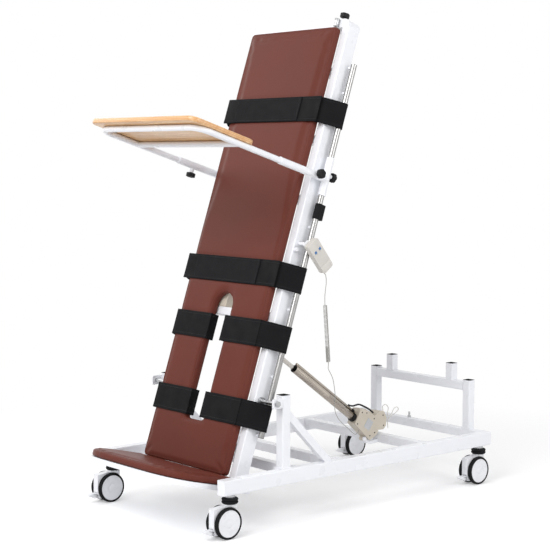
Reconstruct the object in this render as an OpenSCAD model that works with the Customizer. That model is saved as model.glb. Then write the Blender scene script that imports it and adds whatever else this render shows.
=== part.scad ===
// Electric physiotherapy tilt table, standing up on a wheeled base.
// The base stands on the floor at z 0. The foot end faces -Y, and the head comes down towards +Y.
// The origin is on the floor, under the middle of the whole table.
// Pieces of the bed are drawn lying flat, with x across, y from foot to head and z out of the pad,
// and bed_place() turns them about the tilt axis to the angle at which the table stands.

/* [Base frame] */
// Overall width of the base over its two rails
base_w = 842; // [700:1:1000]
// Length of the base rails
base_len = 1556; // [1450:1:1800]
// Width of a base rail
rail_w = 45; // [40:1:60]
// Height of a base rail
rail_h = 60; // [50:1:80]
// Height of the rails' underside above the floor
rail_z = 168; // [160:1:200]
// Side of the square cross-members and rear posts
member_w = 40; // [35:1:45]
// Wall of every square tube
tube_wall = 2.5; // [1.5:0.1:4]
// Outside corner radius of every square tube
tube_round = 4; // [2:0.5:6]

/* [Uprights and tilt axis] */
// Side of the square uprights
upright_w = 42; // [38:1:50]
// Distance of each upright's middle from the centre plane
upright_x = 388; // [380:1:395]
// Uprights' middle, in front of the middle of the base
upright_front = 450; // [430:1:470]
// Height of the uprights without their caps
upright_top = 526; // [500:1:560]
// Side of the square diagonal braces
brace_w = 30; // [25:1:35]
// Distance along the rail from an upright to its brace's foot
brace_run = 212; // [180:1:240]
// Tilt axis in front of the middle of the base
pivot_front = 501.5; // [495:0.5:510]
// Height of the tilt axis
pivot_z = 497; // [480:1:520]
// Radius of the tilt pins
pivot_r = 8; // [6:0.5:8]
// Tilt of the bed, from lying flat
tilt = 71.44; // [71:0.01:72]

/* [Rear frame] */
// Height of the outer rear posts without their caps
rear_post_top = 454; // [430:1:456]
// Height of the inner rear posts without their caps
inner_post_top = 521; // [500:1:522]
// Distance of the outer rear posts from the centre plane
rear_post_x = 300; // [280:1:310]
// Distance of the inner rear posts from the centre plane
inner_post_x = 193; // [150:1:220]

/* [Casters] */
// Radius of a caster wheel
wheel_r = 62.5; // [50:0.5:65]
// Width of one of the two wheels on a caster
wheel_w = 20; // [15:1:24]
// Distance over the outer faces of the two wheels
wheel_span = 74; // [64:1:80]
// Distance of a wheel's axle behind its swivel stem
trail = 30; // [20:1:35]
// Distance of the front stems from the front ends of the rails
stem_front_in = 44; // [33:1:58]
// Distance of the rear stems from the rear ends of the rails
stem_rear_in = 60; // [53:1:88]

/* [Bed] */
// Width of the pad
pad_w = 550; // [480:1:580]
// Length of the pad
pad_len = 1908; // [1800:1:1950]
// Thickness of the pad
pad_t = 39; // [30:1:50]
// Width of the slit between the legs
slit_w = 113; // [90:1:120]
// Foot end of the slit, from the foot end of the pad
slit_start = 196; // [160:1:200]
// Head end of the slit, from the foot end of the pad
slit_end = 734; // [650:1:760]
// Width of the bed's side rails
side_w = 39; // [35:1:45]
// Height of the bed's side rails
side_h = 66; // [60:1:68]
// Outer face of the side rails, from the centre plane
side_out = 309; // [300:1:315]
// Radius of the rounded corners of the frame at the head
head_round = 38; // [20:1:39]
// Distance of the chrome tubes from the centre plane
chrome_x = 335; // [332:1:338]
// Radius of the chrome tubes
chrome_r = 12.5; // [11:0.5:13]

/* [Straps] */
// Width of a strap
strap_w = 109; // [100:1:115]
// Thickness of a strap
strap_t = 4; // [3:0.5:5]
// Thickness of the joining panel on the two long straps
panel_t = 3; // [2:0.5:4]

/* [Footplate] */
// Width of the footplate
foot_w = 678; // [600:1:690]
// Reach of the footplate in front of the pad
foot_reach = 289; // [250:1:300]
// Thickness of the metal footplate
foot_plate_t = 20; // [15:1:25]
// Thickness of the foot pad
foot_pad_t = 35.5; // [30:0.5:40]
// Angle that the footplate leans past square to the bed
foot_lean = 4.56; // [0:0.01:6]

/* [Tray] */
// Width of the tray board
tray_w = 700; // [600:1:720]
// Depth of the tray board
tray_d = 330; // [250:1:340]
// Thickness of the tray board
tray_t = 20; // [15:1:25]
// Outer radius of the tray's telescoping inner tubes
inner_tube_r = 12.5; // [10:0.5:13]
// Outer radius of the tray's arms
arm_r = 15.5; // [15:0.5:16]
// Height of the tray's arms along the bed, from the foot end of the pad
tray_u = 1266; // [1240:1:1275]
// Angle that the tray droops past square to the bed
tray_droop = 1.5; // [0:0.1:3]

/* [Lift actuator] */
// Distance of the actuator from the centre plane
lift_x = 100; // [98:0.5:104]
// Lower pivot, behind the middle of the base
lift_back = 272; // [270:0.5:274]
// Height of the lower pivot
lift_z = 214; // [212:0.5:216]
// Angle of the actuator above level
lift_rise = 35.814; // [35.8:0.001:35.9]
// Offset of the rod's axis above the lower pivot
lift_offset = 48; // [46:0.5:50]
// Radius of the outer tube
lift_tube_r = 17; // [16:0.5:18]
// Radius of the rod
rod_r = 10; // [9:0.5:11]
// Distance along the actuator from the lower pivot to the mouth of the outer tube
lift_mouth = 539.8; // [535:0.1:541]
// Distance along the actuator from the lower pivot to the rod's eye
eye_reach = 841.98; // [841.5:0.01:842.5]

/* [Handset and cord] */
// Length of the handset
handset_l = 148; // [130:1:160]
// Width of the handset
handset_w = 62; // [50:1:70]
// Thickness of the handset
handset_t = 26; // [20:1:30]
// Diameter of the cord
cord_d = 3; // [2.5:0.1:3]
// Outer diameter of the curly part
coil_d = 18; // [16:0.5:18]
// Number of open curls
open_curls = 34; // [25:1:36]
// Number of close curls below them
close_curls = 18; // [12:1:18]

/* [Hidden] */

// Gap between two pieces that seat on each other round a curve
seat_gap = 0.2;
// Gap between a turning or sliding piece and what carries it
run_gap = 0.05;
// Gap between a soft piece and what it lies on
soft_gap = 0.3;
// Gap beside a piece that swings past another
side_gap = 3;
// Overrun of a cut past the faces that it opens
cut_over = 1;
// Steps in a quarter turn of a tube's corner
corner_steps = 3;
$fn = 48;

rail_x = (base_w - rail_w) / 2;
rail_top = rail_z + rail_h;
inside_w = base_w - 2 * rail_w;
bed_under = -pad_t - soft_gap;
side_x = side_out - side_w / 2;
side_v = bed_under - side_h / 2;
// The tilt axis in the flat bed's own places
pivot_u = 324;
pivot_v = -71.5;
// Front edge of the footplate and the shift that puts the origin under the middle of the table
foot_angle = tilt - 90 - foot_lean;
plate_tip_y = foot_reach * cos(foot_lean) - (foot_pad_t + foot_plate_t) * sin(foot_lean);
plate_tip_u = -foot_reach * sin(foot_lean) - (foot_pad_t + foot_plate_t) * cos(foot_lean);
front_y = -pivot_front + (plate_tip_u - pivot_u) * cos(tilt) - (plate_tip_y - pivot_v) * sin(tilt);
base_y = -(front_y + base_len / 2) / 2;
echo(front = front_y, shift = base_y, foot_slope = foot_angle);

white = "white";
black = [0.08, 0.08, 0.08];
steel = [0.62, 0.6, 0.58];

// Places a piece of the base, drawn about the middle of the base
module base_place() {
    translate([0, base_y, 0])
        children();
}

// Places a piece of the bed, drawn lying flat from the foot end of the pad
module bed_place() {
    translate([0, base_y - pivot_front, pivot_z])
        rotate([tilt, 0, 0])
            translate([0, -pivot_u, -pivot_v])
                children();
}

// Places a piece of the actuator, drawn with z along the rod and y above it, from the lower pivot
module lift_place() {
    translate([lift_x, base_y + lift_back, lift_z])
        rotate([90 - lift_rise, 0, 0])
            children();
}

// Places a piece on both sides of the centre plane
module both_sides() {
    children();
    mirror([1, 0, 0])
        children();
}

// Corner points of a rounded rectangle about the origin
function rounded_points(w, h, r, steps = corner_steps) = [
    for (corner = [[1, 1, 0], [-1, 1, 90], [-1, -1, 180], [1, -1, 270]])
        for (i = [0 : steps])
            let (a = corner[2] + 90 * i / steps)
                [corner[0] * (w / 2 - r) + r * cos(a), corner[1] * (h / 2 - r) + r * sin(a)]
];

// Section of a square or rectangular tube
module tube_section(w, h) {
    difference() {
        polygon(rounded_points(w, h, tube_round));
        square([w - 2 * tube_wall, h - 2 * tube_wall], center = true);
    }
}

// Square tube standing on z 0
module tube_z(w, d, len) {
    linear_extrude(len)
        tube_section(w, d);
}

// Square tube along x, about the origin
module tube_x(len, w, h) {
    rotate([90, 0, 90])
        linear_extrude(len, center = true)
            tube_section(w, h);
}

// Square tube along y, about the origin
module tube_y(len, w, h) {
    rotate([90, 0, 0])
        linear_extrude(len, center = true)
            tube_section(w, h);
}

// Flat plate of an outline drawn in y and z, centred on x
module side_plate(points, w) {
    rotate([90, 0, 90])
        linear_extrude(w, center = true)
            polygon(points);
}

// Round bar along x between two places
module bar_x(from, to, r) {
    translate([from, 0, 0])
        rotate([0, 90, 0])
            cylinder(h = to - from, r = r);
}

// Closed skin through rings of points that all have the same count, from its near to its far end
module skin(rings) {
    n = len(rings[0]);
    last = len(rings) - 1;
    polyhedron(
        points = [for (ring = rings) each ring],
        faces = [
            [for (i = [0 : n - 1]) i],
            for (k = [0 : last - 1])
                for (i = [0 : n - 1])
                    let (a = k * n + i, b = k * n + (i + 1) % n)
                        each [[a, a + n, b + n], [a, b + n, b]],
            [for (i = [n - 1 : -1 : 0]) last * n + i]
        ]
    );
}

// Rings of a round tube of radius r along a path
function path_direction(path, k) =
    let (a = path[max(k - 1, 0)], b = path[min(k + 1, len(path) - 1)])
        (b - a) / norm(b - a);
function tube_rings(path, r, sides, across = [1, 0, 0], spare = [0, 1, 0]) = [
    for (k = [0 : len(path) - 1])
        let (
            along = path_direction(path, k),
            raw = norm(cross(across, along)) > 0.01 ? cross(across, along) : cross(spare, along),
            a = raw / norm(raw),
            b = cross(along, a)
        )
            [for (i = [0 : sides - 1]) path[k] + r * (a * cos(360 * i / sides) + b * sin(360 * i / sides))]
];

// Smooth path through hand-placed points, with steps places on each stretch
function curve_point(p, q, s, e, t) =
    ((2 * q) + (s - p) * t + (2 * p - 5 * q + 4 * s - e) * t * t + (3 * q - p - 3 * s + e) * t * t * t) / 2;
function curve_path(points, steps) = [
    for (k = [0 : len(points) - 2])
        let (
            p = points[max(k - 1, 0)],
            q = points[k],
            s = points[k + 1],
            e = points[min(k + 2, len(points) - 1)]
        )
            for (i = [0 : steps - 1])
                curve_point(p, q, s, e, i / steps),
    points[len(points) - 1]
];

// Layered slab with rounded edges, lying under z 0, with its outline from rounded corners
module soft_slab(w, l, r, t, edge, crown, low_y = 0, spread = 7) {
    skin([
        for (layer = slab_layers(t, edge, crown, spread))
            [for (p = rounded_points(w - 2 * layer[0], l - 2 * layer[0], r, 2 * corner_steps))
                [p[0], p[1] < 0 ? p[1] + low_y * layer[1] : p[1], layer[1]]]
    ]);
}

// Inset and height of each layer of a slab, from its underside to the top of its crown
function slab_layers(t, edge, crown, spread = 7) = [
    [edge / 3, -t],
    [0, -t + edge / 3],
    for (a = [0 : 30 : 90])
        [edge * (1 - cos(a)), -crown - edge * (1 - sin(a))],
    [spread * edge / 2, -crown / 4],
    [spread * edge, 0]
];

// Closed outline of the slit between the legs, let out by a margin
function slit_points(out) =
    let (top_r = slit_w / 2, low_r = slit_w / 14, low_x = slit_w / 2 - low_r)
        [
            for (corner = [
                [0, slit_end - top_r, top_r, 0],
                [0, slit_end - top_r, top_r, 90],
                [-low_x, slit_start + low_r, low_r, 180],
                [low_x, slit_start + low_r, low_r, 270]
            ])
                for (i = [0 : 2 * corner_steps])
                    let (a = corner[3] + 90 * i / (2 * corner_steps) + (i == 0 ? 1 : 0))
                        [corner[0] + (corner[2] + out) * cos(a), corner[1] + (corner[2] + out) * sin(a)]
        ];

// Star grip with its screw, standing on z 0 with the screw below
module star_knob(r, h, screw_r, screw_l) {
    cylinder(h = h, r = 0.8 * r);
    for (a = [0 : 60 : 300])
        rotate([0, 0, a])
            translate([0.72 * r, 0, 0])
                cylinder(h = h, r = 0.28 * r, $fn = 24);
    translate([0, 0, -screw_l])
        cylinder(h = screw_l + h / 2, r = screw_r);
}

// Points of a ribbon of thickness t along a path in a plane
function ribbon_side(path, k, d) =
    let (
        a = path[max(k - 1, 0)],
        b = path[min(k + 1, len(path) - 1)],
        along = (b - a) / norm(b - a)
    )
        path[k] + d * [-along[1], along[0]];
function ribbon_points(path, t) = [
    for (k = [0 : len(path) - 1]) ribbon_side(path, k, t / 2),
    for (k = [len(path) - 1 : -1 : 0]) ribbon_side(path, k, -t / 2)
];

end_cap_t = 3;
foot_plate_w = 52;
foot_plate_l = 60;
upright_foot_t = 5;
ear_t = 8;
ear_reach = 20;
ear_round = 6;
post_cap_h = 3;
crossmember_shares = [-0.508, -0.194];
lift_reach = 80.9732;
lift_member_y = lift_back + lift_reach + member_w / 2;
rear_member_y = (base_len - member_w) / 2;
crossmember_places = [for (share = crossmember_shares) share * base_len / 2, lift_member_y, rear_member_y];
member_z = rail_top - member_w / 2;

// Two long tubes with their end caps
module base_rails() {
    color(white) base_place() both_sides()
        translate([rail_x, 0, rail_z + rail_h / 2]) {
            tube_y(base_len - 2 * end_cap_t, rail_w, rail_h);
            for (end = [-1, 1])
                translate([0, end * (base_len - end_cap_t) / 2, 0])
                    rotate([90, 0, 0])
                        linear_extrude(end_cap_t, center = true)
                            polygon(rounded_points(rail_w, rail_h, tube_round));
        }
}

// Square tubes across the base, flush with the tops of the rails
module base_crossmembers() {
    color(white) base_place()
        for (place = crossmember_places)
            translate([0, place, member_z])
                tube_x(inside_w, member_w, member_w);
}

// Uprights on foot plates, which carry the tilt axis
module uprights() {
    color(white) base_place() both_sides()
        translate([upright_x, -upright_front, rail_top]) {
            translate([-foot_plate_w / 2, -foot_plate_l / 2, 0])
                cube([foot_plate_w, foot_plate_l, upright_foot_t]);
            translate([0, 0, upright_foot_t])
                tube_z(upright_w, upright_w, upright_top - rail_top - upright_foot_t);
        }
}

// Side outline of a diagonal brace, from half its upright thickness, with its ends let out
function brace_points(half, out) =
    let (y = -upright_front + upright_w / 2, z = rail_top + brace_run)
        [
            [y - out, z - half + out],
            [y - out, z + half + out],
            [y + brace_run + half + out, rail_top - out],
            [y + brace_run - half + out, rail_top - out]
        ];

// Diagonal tubes from the uprights down to the rails
module upright_braces() {
    half = brace_w / sqrt(2);
    color(white) base_place() both_sides()
        translate([upright_x + tube_wall, 0, 0])
            difference() {
                side_plate(brace_points(half, 0), brace_w);
                side_plate(brace_points(half - tube_wall * sqrt(2), cut_over), brace_w - 2 * tube_wall);
            }
}

// Plates in front of the uprights with the bearings of the tilt pins
module tilt_ears() {
    back = pivot_front - upright_front - upright_w / 2;
    color(white) base_place() both_sides()
        translate([upright_x + (upright_w - ear_t) / 2, -pivot_front, pivot_z])
            rotate([90, 0, 90])
                linear_extrude(ear_t, center = true)
                    difference() {
                        translate([(back - ear_reach) / 2, 0])
                            polygon(rounded_points(back + ear_reach, 2 * ear_reach, ear_round));
                        circle(pivot_r + run_gap);
                    }
}

// Low pyramid cap on a post of width w, standing on z 0
module post_cap(w) {
    linear_extrude(post_cap_h / 3)
        polygon(rounded_points(w, w, tube_round));
    translate([0, 0, post_cap_h / 3])
        linear_extrude(2 * post_cap_h / 3, scale = 0.2)
            square(w - tube_wall, center = true);
}

// Black caps on the uprights and the rear posts
module post_caps() {
    color(black) base_place() both_sides() {
        translate([upright_x, -upright_front, upright_top])
            post_cap(upright_w);
        translate([rear_post_x, rear_member_y, rear_post_top])
            post_cap(member_w);
        translate([inner_post_x, rear_member_y, inner_post_top])
            post_cap(member_w);
    }
}

rear_bar_top = 446;

// Rest for the head end when the bed lies flat
module rear_frame() {
    color(white) base_place() {
        both_sides() {
            translate([rear_post_x, rear_member_y, rail_top])
                tube_z(member_w, member_w, rear_post_top - rail_top);
            translate([inner_post_x, rear_member_y, rear_bar_top])
                tube_z(member_w, member_w, inner_post_top - rear_bar_top);
        }
        translate([0, rear_member_y, rear_bar_top - member_w / 2])
            tube_x(2 * rear_post_x - member_w, member_w, member_w);
    }
}

lug_r = 10;
lug_t = 6;
lug_pin_r = 5;
lug_half = lug_r + cut_over;
lug_low = 28;

// Lugs on a cross-member with the pin of the actuator's lower pivot
module lift_bracket() {
    mid = 0.37 * lift_reach;
    color(white) base_place()
        translate([lift_x, lift_back, lift_z]) {
            for (side = [-1, 1])
                translate([side * (lug_half + lug_t / 2), 0, 0]) {
                    bar_x(-lug_t / 2, lug_t / 2, lug_r);
                    side_plate([
                        [-0.8 * lug_r, -0.6 * lug_r],
                        [mid, -lug_low],
                        [lift_reach, -0.93 * lug_low],
                        [lift_reach, -0.32 * lug_low],
                        [mid, -0.55 * lug_low],
                        [0.7 * lug_r, -0.7 * lug_r]
                    ], lug_t);
                }
            bar_x(-lug_half - lug_t, lug_half + lug_t, lug_pin_r);
        }
}

stud_x = -75;
stud_r = 5;
stud_h = 27;

// Stud with its nut on the rear cross-member
module rear_stud() {
    color(steel) base_place()
        translate([stud_x, rear_member_y, rail_top]) {
            cylinder(h = stud_h, r = stud_r, $fn = 24);
            cylinder(h = stud_h / 3, r = 1.8 * stud_r, $fn = 6);
        }
}

stem_r = 6;
stem_flange_r = 20;
collar_r = 33;
boss_r = 27;
boss_top = 132;
collar_low = 134;
collar_top = 156;
stem_low = 100;
hood_w = wheel_span - 2 * wheel_w - 2 * cut_over;
axle_r = 5;
wheel_gap = 2;
stem_front = base_len / 2 - stem_front_in;
stem_rear = base_len / 2 - stem_rear_in;
caster_places = [
    [rail_x, -stem_front], [-rail_x, -stem_front], [rail_x, stem_rear], [-rail_x, stem_rear]
];

// Fixed stems that the casters swivel on
module caster_stems() {
    color(steel) base_place()
        for (place = caster_places)
            translate([place[0], place[1], 0]) {
                translate([0, 0, collar_top])
                    cylinder(h = rail_z - collar_top, r = stem_flange_r);
                translate([0, 0, stem_low])
                    cylinder(h = collar_top - stem_low, r = stem_r);
            }
}

// Rubber collars round the stems
module caster_collars() {
    mid = (collar_low + collar_top) / 2;
    bead = (collar_top - collar_low) / 4;
    color(black) base_place()
        for (place = caster_places)
            translate([place[0], place[1], 0])
                rotate_extrude() {
                    translate([stem_r + seat_gap, collar_low])
                        square([collar_r - bead - stem_r - seat_gap, collar_top - collar_low]);
                    for (z = [mid - bead, mid + bead])
                        translate([collar_r - bead, z])
                            circle(bead, $fn = 24);
                }
}

// Places a piece of caster k, drawn about its stem with the floor at z 0
module caster_place(k) {
    base_place()
        translate([caster_places[k][0], caster_places[k][1], 0])
            children();
}

// Swivelling hood with its boss and the wheels' axle
module caster_hood(k) {
    front = -trail - wheel_r + cut_over;
    rear = -trail + 0.7 * wheel_r;
    top = boss_top - trail / 3;
    color(white) caster_place(k) {
        translate([0, front + pedal_root, pedal_z])
            bar_x(cut_over - hood_w / 2, hood_w / 2 - cut_over, pedal_pin_r);
        difference() {
            union() {
                difference() {
                    translate([0, 0, wheel_r])
                        cylinder(h = boss_top - wheel_r, r = boss_r);
                    for (side = [-1, 1])
                        translate([side * (hood_w + boss_r) / 2, -trail, wheel_r])
                            bar_x(-boss_r / 2, boss_r / 2, wheel_r + wheel_gap);
                }
                side_plate([
                    [front, top],
                    [front, 0.72 * wheel_r],
                    [front + trail / 3, 0.3 * wheel_r],
                    [-trail, 0.2 * wheel_r],
                    [rear, 0.6 * wheel_r],
                    [rear, boss_top - trail / 2],
                    [0, boss_top - cut_over]
                ], hood_w);
                translate([0, -trail, wheel_r])
                    bar_x(-wheel_span / 2 + 2 * wheel_gap, wheel_span / 2 - 2 * wheel_gap, axle_r);
            }
            translate([0, 0, stem_low - cut_over])
                cylinder(h = boss_top, r = stem_r + run_gap);
            translate([-pedal_w / 2 - cut_over, front - cut_over, pedal_z - pedal_h - cut_over])
                cube([pedal_w + 2 * cut_over, 2 * pedal_root + cut_over, 2 * (pedal_h + cut_over)]);
        }
    }
}

disc_r = 54;

// Two rubber tyres on a caster
module caster_tyres(k) {
    soft_r = wheel_w / 3;
    color(black) caster_place(k)
        for (side = [-1, 1])
            translate([side * (wheel_span - wheel_w) / 2, -trail, wheel_r])
                rotate([0, 90, 0])
                    rotate_extrude($fn = 64)
                        difference() {
                            union() {
                                translate([disc_r + seat_gap, -wheel_w / 2])
                                    square([wheel_r - disc_r - seat_gap - soft_r, wheel_w]);
                                translate([disc_r + seat_gap, soft_r - wheel_w / 2])
                                    square([wheel_r - disc_r - seat_gap, wheel_w - 2 * soft_r]);
                                for (end = [-1, 1])
                                    translate([wheel_r - soft_r, end * (wheel_w / 2 - soft_r)])
                                        circle(soft_r, $fn = 24);
                            }
                            translate([0, -wheel_w])
                                square([disc_r + seat_gap, 2 * wheel_w]);
                        }
}

// Two white discs on a caster, each with a blind bore for the axle
module caster_discs(k) {
    color(white) caster_place(k)
        for (side = [0, 1])
            mirror([side, 0, 0])
                translate([(wheel_span - wheel_w) / 2, -trail, wheel_r])
                    rotate([0, 90, 0])
                        difference() {
                            union() {
                                translate([0, 0, -wheel_w / 2])
                                    cylinder(h = wheel_w - wheel_gap, r = disc_r, $fn = 64);
                                translate([0, 0, wheel_w / 2 - wheel_gap])
                                    cylinder(h = wheel_gap / 2, r = disc_r - wheel_gap, $fn = 64);
                            }
                            translate([0, 0, -wheel_w])
                                cylinder(h = 1.5 * wheel_w - wheel_gap, r = axle_r + run_gap);
                        }
}

pedal_w = 22;
pedal_h = 12;
pedal_z = 34;
pedal_root = 7.5;
pedal_reach = 44;
pedal_pin_r = 2.5;

// Brake pedal, which tips about a pin across the front of the hood
module caster_pedal(k) {
    front = -trail - wheel_r + cut_over;
    nose = 0.7 * pedal_root;
    color(white) caster_place(k)
        difference() {
            side_plate([
                [front + pedal_root + nose, pedal_z + nose],
                [front + nose, pedal_z + pedal_h - 2 * cut_over],
                [front - pedal_reach / 2, pedal_z + pedal_h - 2 * cut_over],
                [front - pedal_reach, pedal_z + pedal_h / 4],
                [front - pedal_reach / 4, pedal_z - pedal_h],
                [front + nose, pedal_z - nose],
                [front + pedal_root + nose, pedal_z - nose]
            ], pedal_w);
            translate([0, front + pedal_root, pedal_z])
                bar_x(-pedal_w, pedal_w, pedal_pin_r + run_gap);
        }
}

// The four casters: near front, far front, near rear, far rear
module caster_hood_1() {
    caster_hood(0);
}
module caster_hood_2() {
    caster_hood(1);
}
module caster_hood_3() {
    caster_hood(2);
}
module caster_hood_4() {
    caster_hood(3);
}
module caster_tyres_1() {
    caster_tyres(0);
}
module caster_tyres_2() {
    caster_tyres(1);
}
module caster_tyres_3() {
    caster_tyres(2);
}
module caster_tyres_4() {
    caster_tyres(3);
}
module caster_discs_1() {
    caster_discs(0);
}
module caster_discs_2() {
    caster_discs(1);
}
module caster_discs_3() {
    caster_discs(2);
}
module caster_discs_4() {
    caster_discs(3);
}
module caster_pedal_1() {
    caster_pedal(0);
}
module caster_pedal_2() {
    caster_pedal(1);
}
module caster_pedal_3() {
    caster_pedal(2);
}
module caster_pedal_4() {
    caster_pedal(3);
}

bed_member_w = 35;
bed_member_shares = [0.062, 0.3478, 0.46, 0.61, 0.745, 0.9];
lift_member_u = bed_member_shares[1] * pad_len;
head_u = pad_len + 5;

// Long tubes at the sides of the bed, cut to the slope of the footplate
module bed_side_rails() {
    foot_end = (seat_gap - foot_pad_t) / cos(foot_lean);
    color(white) bed_place() both_sides()
        difference() {
            translate([side_x, (head_u + foot_end - side_h) / 2, side_v])
                tube_y(head_u - foot_end + side_h, side_w, side_h);
            rotate([foot_lean, 0, 0])
                translate([0, foot_end * cos(foot_lean) - 2 * side_h, -2 * side_h])
                    cube([side_out + cut_over, 2 * side_h, 3 * side_h]);
        }
}

// Cross-members under the pad and the rounded bar at the head
module bed_crossmembers() {
    color(white) bed_place() {
        for (share = bed_member_shares)
            translate([0, share * pad_len, bed_under - member_w / 2])
                tube_x(2 * (side_out - side_w), bed_member_w, member_w);
        difference() {
            translate([0, head_u, side_v - side_h / 2])
                linear_extrude(side_h)
                    union() {
                        translate([-side_out + head_round, 0])
                            square([2 * (side_out - head_round), head_round]);
                        both_sides()
                            intersection() {
                                translate([side_out - head_round, 0])
                                    circle(head_round, $fn = 64);
                                square(side_out);
                            }
                    }
            translate([0, head_u + head_round / 2, side_v])
                cube([
                    2 * (side_out - side_w), head_round - 2 * tube_wall, side_h - 2 * tube_wall
                ], center = true);
            translate([socket_x, head_u, knob_v])
                rotate([-90, 0, 0])
                    cylinder(h = 2 * head_round, r = knob_screw_r + run_gap);
        }
    }
}

pad_edge = 7;
pad_crown = 3;
pad_corner = 16;

// Pad of the bed with its slit, lying on the frame
module bed_pad() {
    lean = -tan(foot_lean);
    color([0.4, 0.18, 0.15]) bed_place()
        difference() {
            translate([0, pad_len / 2 + soft_gap, 0])
                soft_slab(pad_w, pad_len, pad_corner, pad_t, pad_edge, pad_crown, lean);
            skin([
                for (layer = concat(
                    [[pad_edge / 3, -pad_t - cut_over]],
                    slab_layers(pad_t, pad_edge, pad_crown),
                    [[7 * pad_edge, cut_over]]
                ))
                    [for (p = slit_points(layer[0])) [p[0], p[1], layer[1]]]
            ]);
        }
}

pin_flange_r = 16;
pin_flange_t = 8;
pin_head_r = 13;

// Pins of the tilt axis, from the bed's side rails through the bearings
module tilt_pins() {
    outer = upright_x + upright_w / 2;
    color(steel) bed_place() both_sides()
        translate([0, pivot_u, pivot_v]) {
            bar_x(side_out, side_out + pin_flange_t, pin_flange_r);
            bar_x(side_out, outer + pin_flange_t, pivot_r);
            translate([outer + cut_over, 0, 0])
                rotate([0, 90, 0])
                    cylinder(h = pin_flange_t, r = pin_head_r, $fn = 6);
        }
}

// Places a piece of the footplate, drawn level with its front towards -y and the pad's foot at the origin
module foot_place() {
    bed_place()
        rotate([foot_lean - 90, 0, 0])
            children();
}

foot_curve = 4.4;
foot_steps = 24;
foot_back = -bed_under + side_h;

// Outline of the footplate, drawn in by a margin, with its straight back at a given depth
function foot_points(inset, back) = concat(
    [for (i = [0 : foot_steps])
        let (a = 180 + 180 * i / foot_steps, c = cos(a), s = sin(a))
            [
                (foot_w / 2 - inset) * sign(c) * pow(abs(c), 2 / foot_curve),
                -(foot_reach - inset) * pow(abs(s), 2 / foot_curve)
            ]],
    [[foot_w / 2 - inset, back - inset], [-foot_w / 2 + inset, back - inset]]
);

foot_sheet_t = 3;

// White sheet metal pan under the foot pad
module footplate() {
    color(white) foot_place()
        translate([0, 0, -foot_pad_t - foot_plate_t])
            difference() {
                linear_extrude(foot_plate_t)
                    polygon(foot_points(0, foot_back));
                translate([0, 0, -foot_sheet_t])
                    linear_extrude(foot_plate_t)
                        polygon(foot_points(foot_sheet_t, foot_back));
            }
}

// Depth of the foot pad's back at a height, just in front of the leaning rails
function foot_pad_back(height) = (height * sin(foot_lean) - bed_under) / cos(foot_lean) - 2 * seat_gap;

// Padded top of the footplate
module foot_pad() {
    color([0.4, 0.18, 0.15]) foot_place()
        skin([
            for (layer = slab_layers(foot_pad_t, pad_edge, pad_crown))
                [for (p = foot_points(layer[0] + cut_over, foot_pad_back(layer[1]) + layer[0]))
                    [p[0], p[1], layer[1] + (layer[1] > -foot_pad_t ? 0 : seat_gap)]]
        ]);
}

chrome_v = -97;
chrome_wall = 1.5;
chrome_start = 180;
chrome_end = 1764;

// Chrome tubes beside the bed, which the straps and the tray hold
module chrome_tubes() {
    color([0.8, 0.8, 0.82]) bed_place() both_sides()
        translate([chrome_x, chrome_start, chrome_v])
            rotate([-90, 0, 0])
                linear_extrude(chrome_end - chrome_start)
                    difference() {
                        circle(chrome_r);
                        circle(chrome_r - chrome_wall);
                    }
}

spacer_places = [190, 430, 710, 1060, 1640, 1752];
spacer_r = 6;
plate_half = 21;
plate_from = 511;
plate_to = 702;
plate_depth = 62;

// Welded brackets of the bed: spacers of the chrome tubes and the long lugs of the actuator's eye
module bed_brackets() {
    color(white) bed_place() {
        both_sides()
            for (u = spacer_places)
                difference() {
                    translate([0, u, chrome_v])
                        bar_x(side_out, chrome_x, spacer_r);
                    translate([chrome_x, u - chrome_r, chrome_v])
                        rotate([-90, 0, 0])
                            cylinder(h = 2 * chrome_r, r = chrome_r);
                }
        for (side = [-1, 1])
            translate([lift_x + side * (plate_half + lug_t / 2), 0, 0])
                side_plate([
                    [plate_from, bed_under - member_w],
                    [plate_to, bed_under - member_w],
                    [plate_to, bed_under - member_w - plate_depth / 2],
                    [plate_to - plate_depth / 2, bed_under - member_w - plate_depth],
                    [plate_from + plate_depth / 3, bed_under - member_w - plate_depth],
                    [plate_from, bed_under - member_w - plate_depth / 2]
                ], lug_t);
    }
}

strap_r = chrome_r + soft_gap + strap_t / 2;
strap_lift = soft_gap + strap_t / 2;
long_strap_places = [780, 1485];
leg_strap_places = [[531, 531], [205, 206]];

// Middle line of a strap from the top of the pad round a chrome tube, on the +x side
strap_wrap = [
    [0.93 * pad_w / 2, strap_lift],
    [pad_w / 2 - strap_t / 4, strap_lift - strap_t / 4],
    [pad_w / 2 + strap_t, -strap_t / 4],
    [side_out + strap_t, bed_under + 1.2 * strap_t],
    for (a = [20 : -25 : -155])
        [chrome_x + strap_r * cos(a), chrome_v + strap_r * sin(a)]
];
// Middle line of a leg strap up through the slit and over the leg
slit_wrap = [
    [slit_w / 2 + 4 * strap_t, -pad_t - 2 * strap_lift],
    [slit_w / 2 - strap_lift + strap_t / 2, -pad_t - 2 * strap_lift],
    [slit_w / 2 - strap_lift, -pad_t - strap_lift / 2],
    [slit_w / 2 - strap_lift, -strap_t],
    [slit_w / 2 - strap_t / 4, strap_lift - strap_t / 4],
    [slit_w / 2 + strap_t, strap_lift]
];

// Strap along a middle line, from u upwards
module strap_along(path, u) {
    translate([0, u + strap_w, 0])
        rotate([90, 0, 0])
            linear_extrude(strap_w)
                polygon(ribbon_points(path, strap_t));
}

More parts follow.
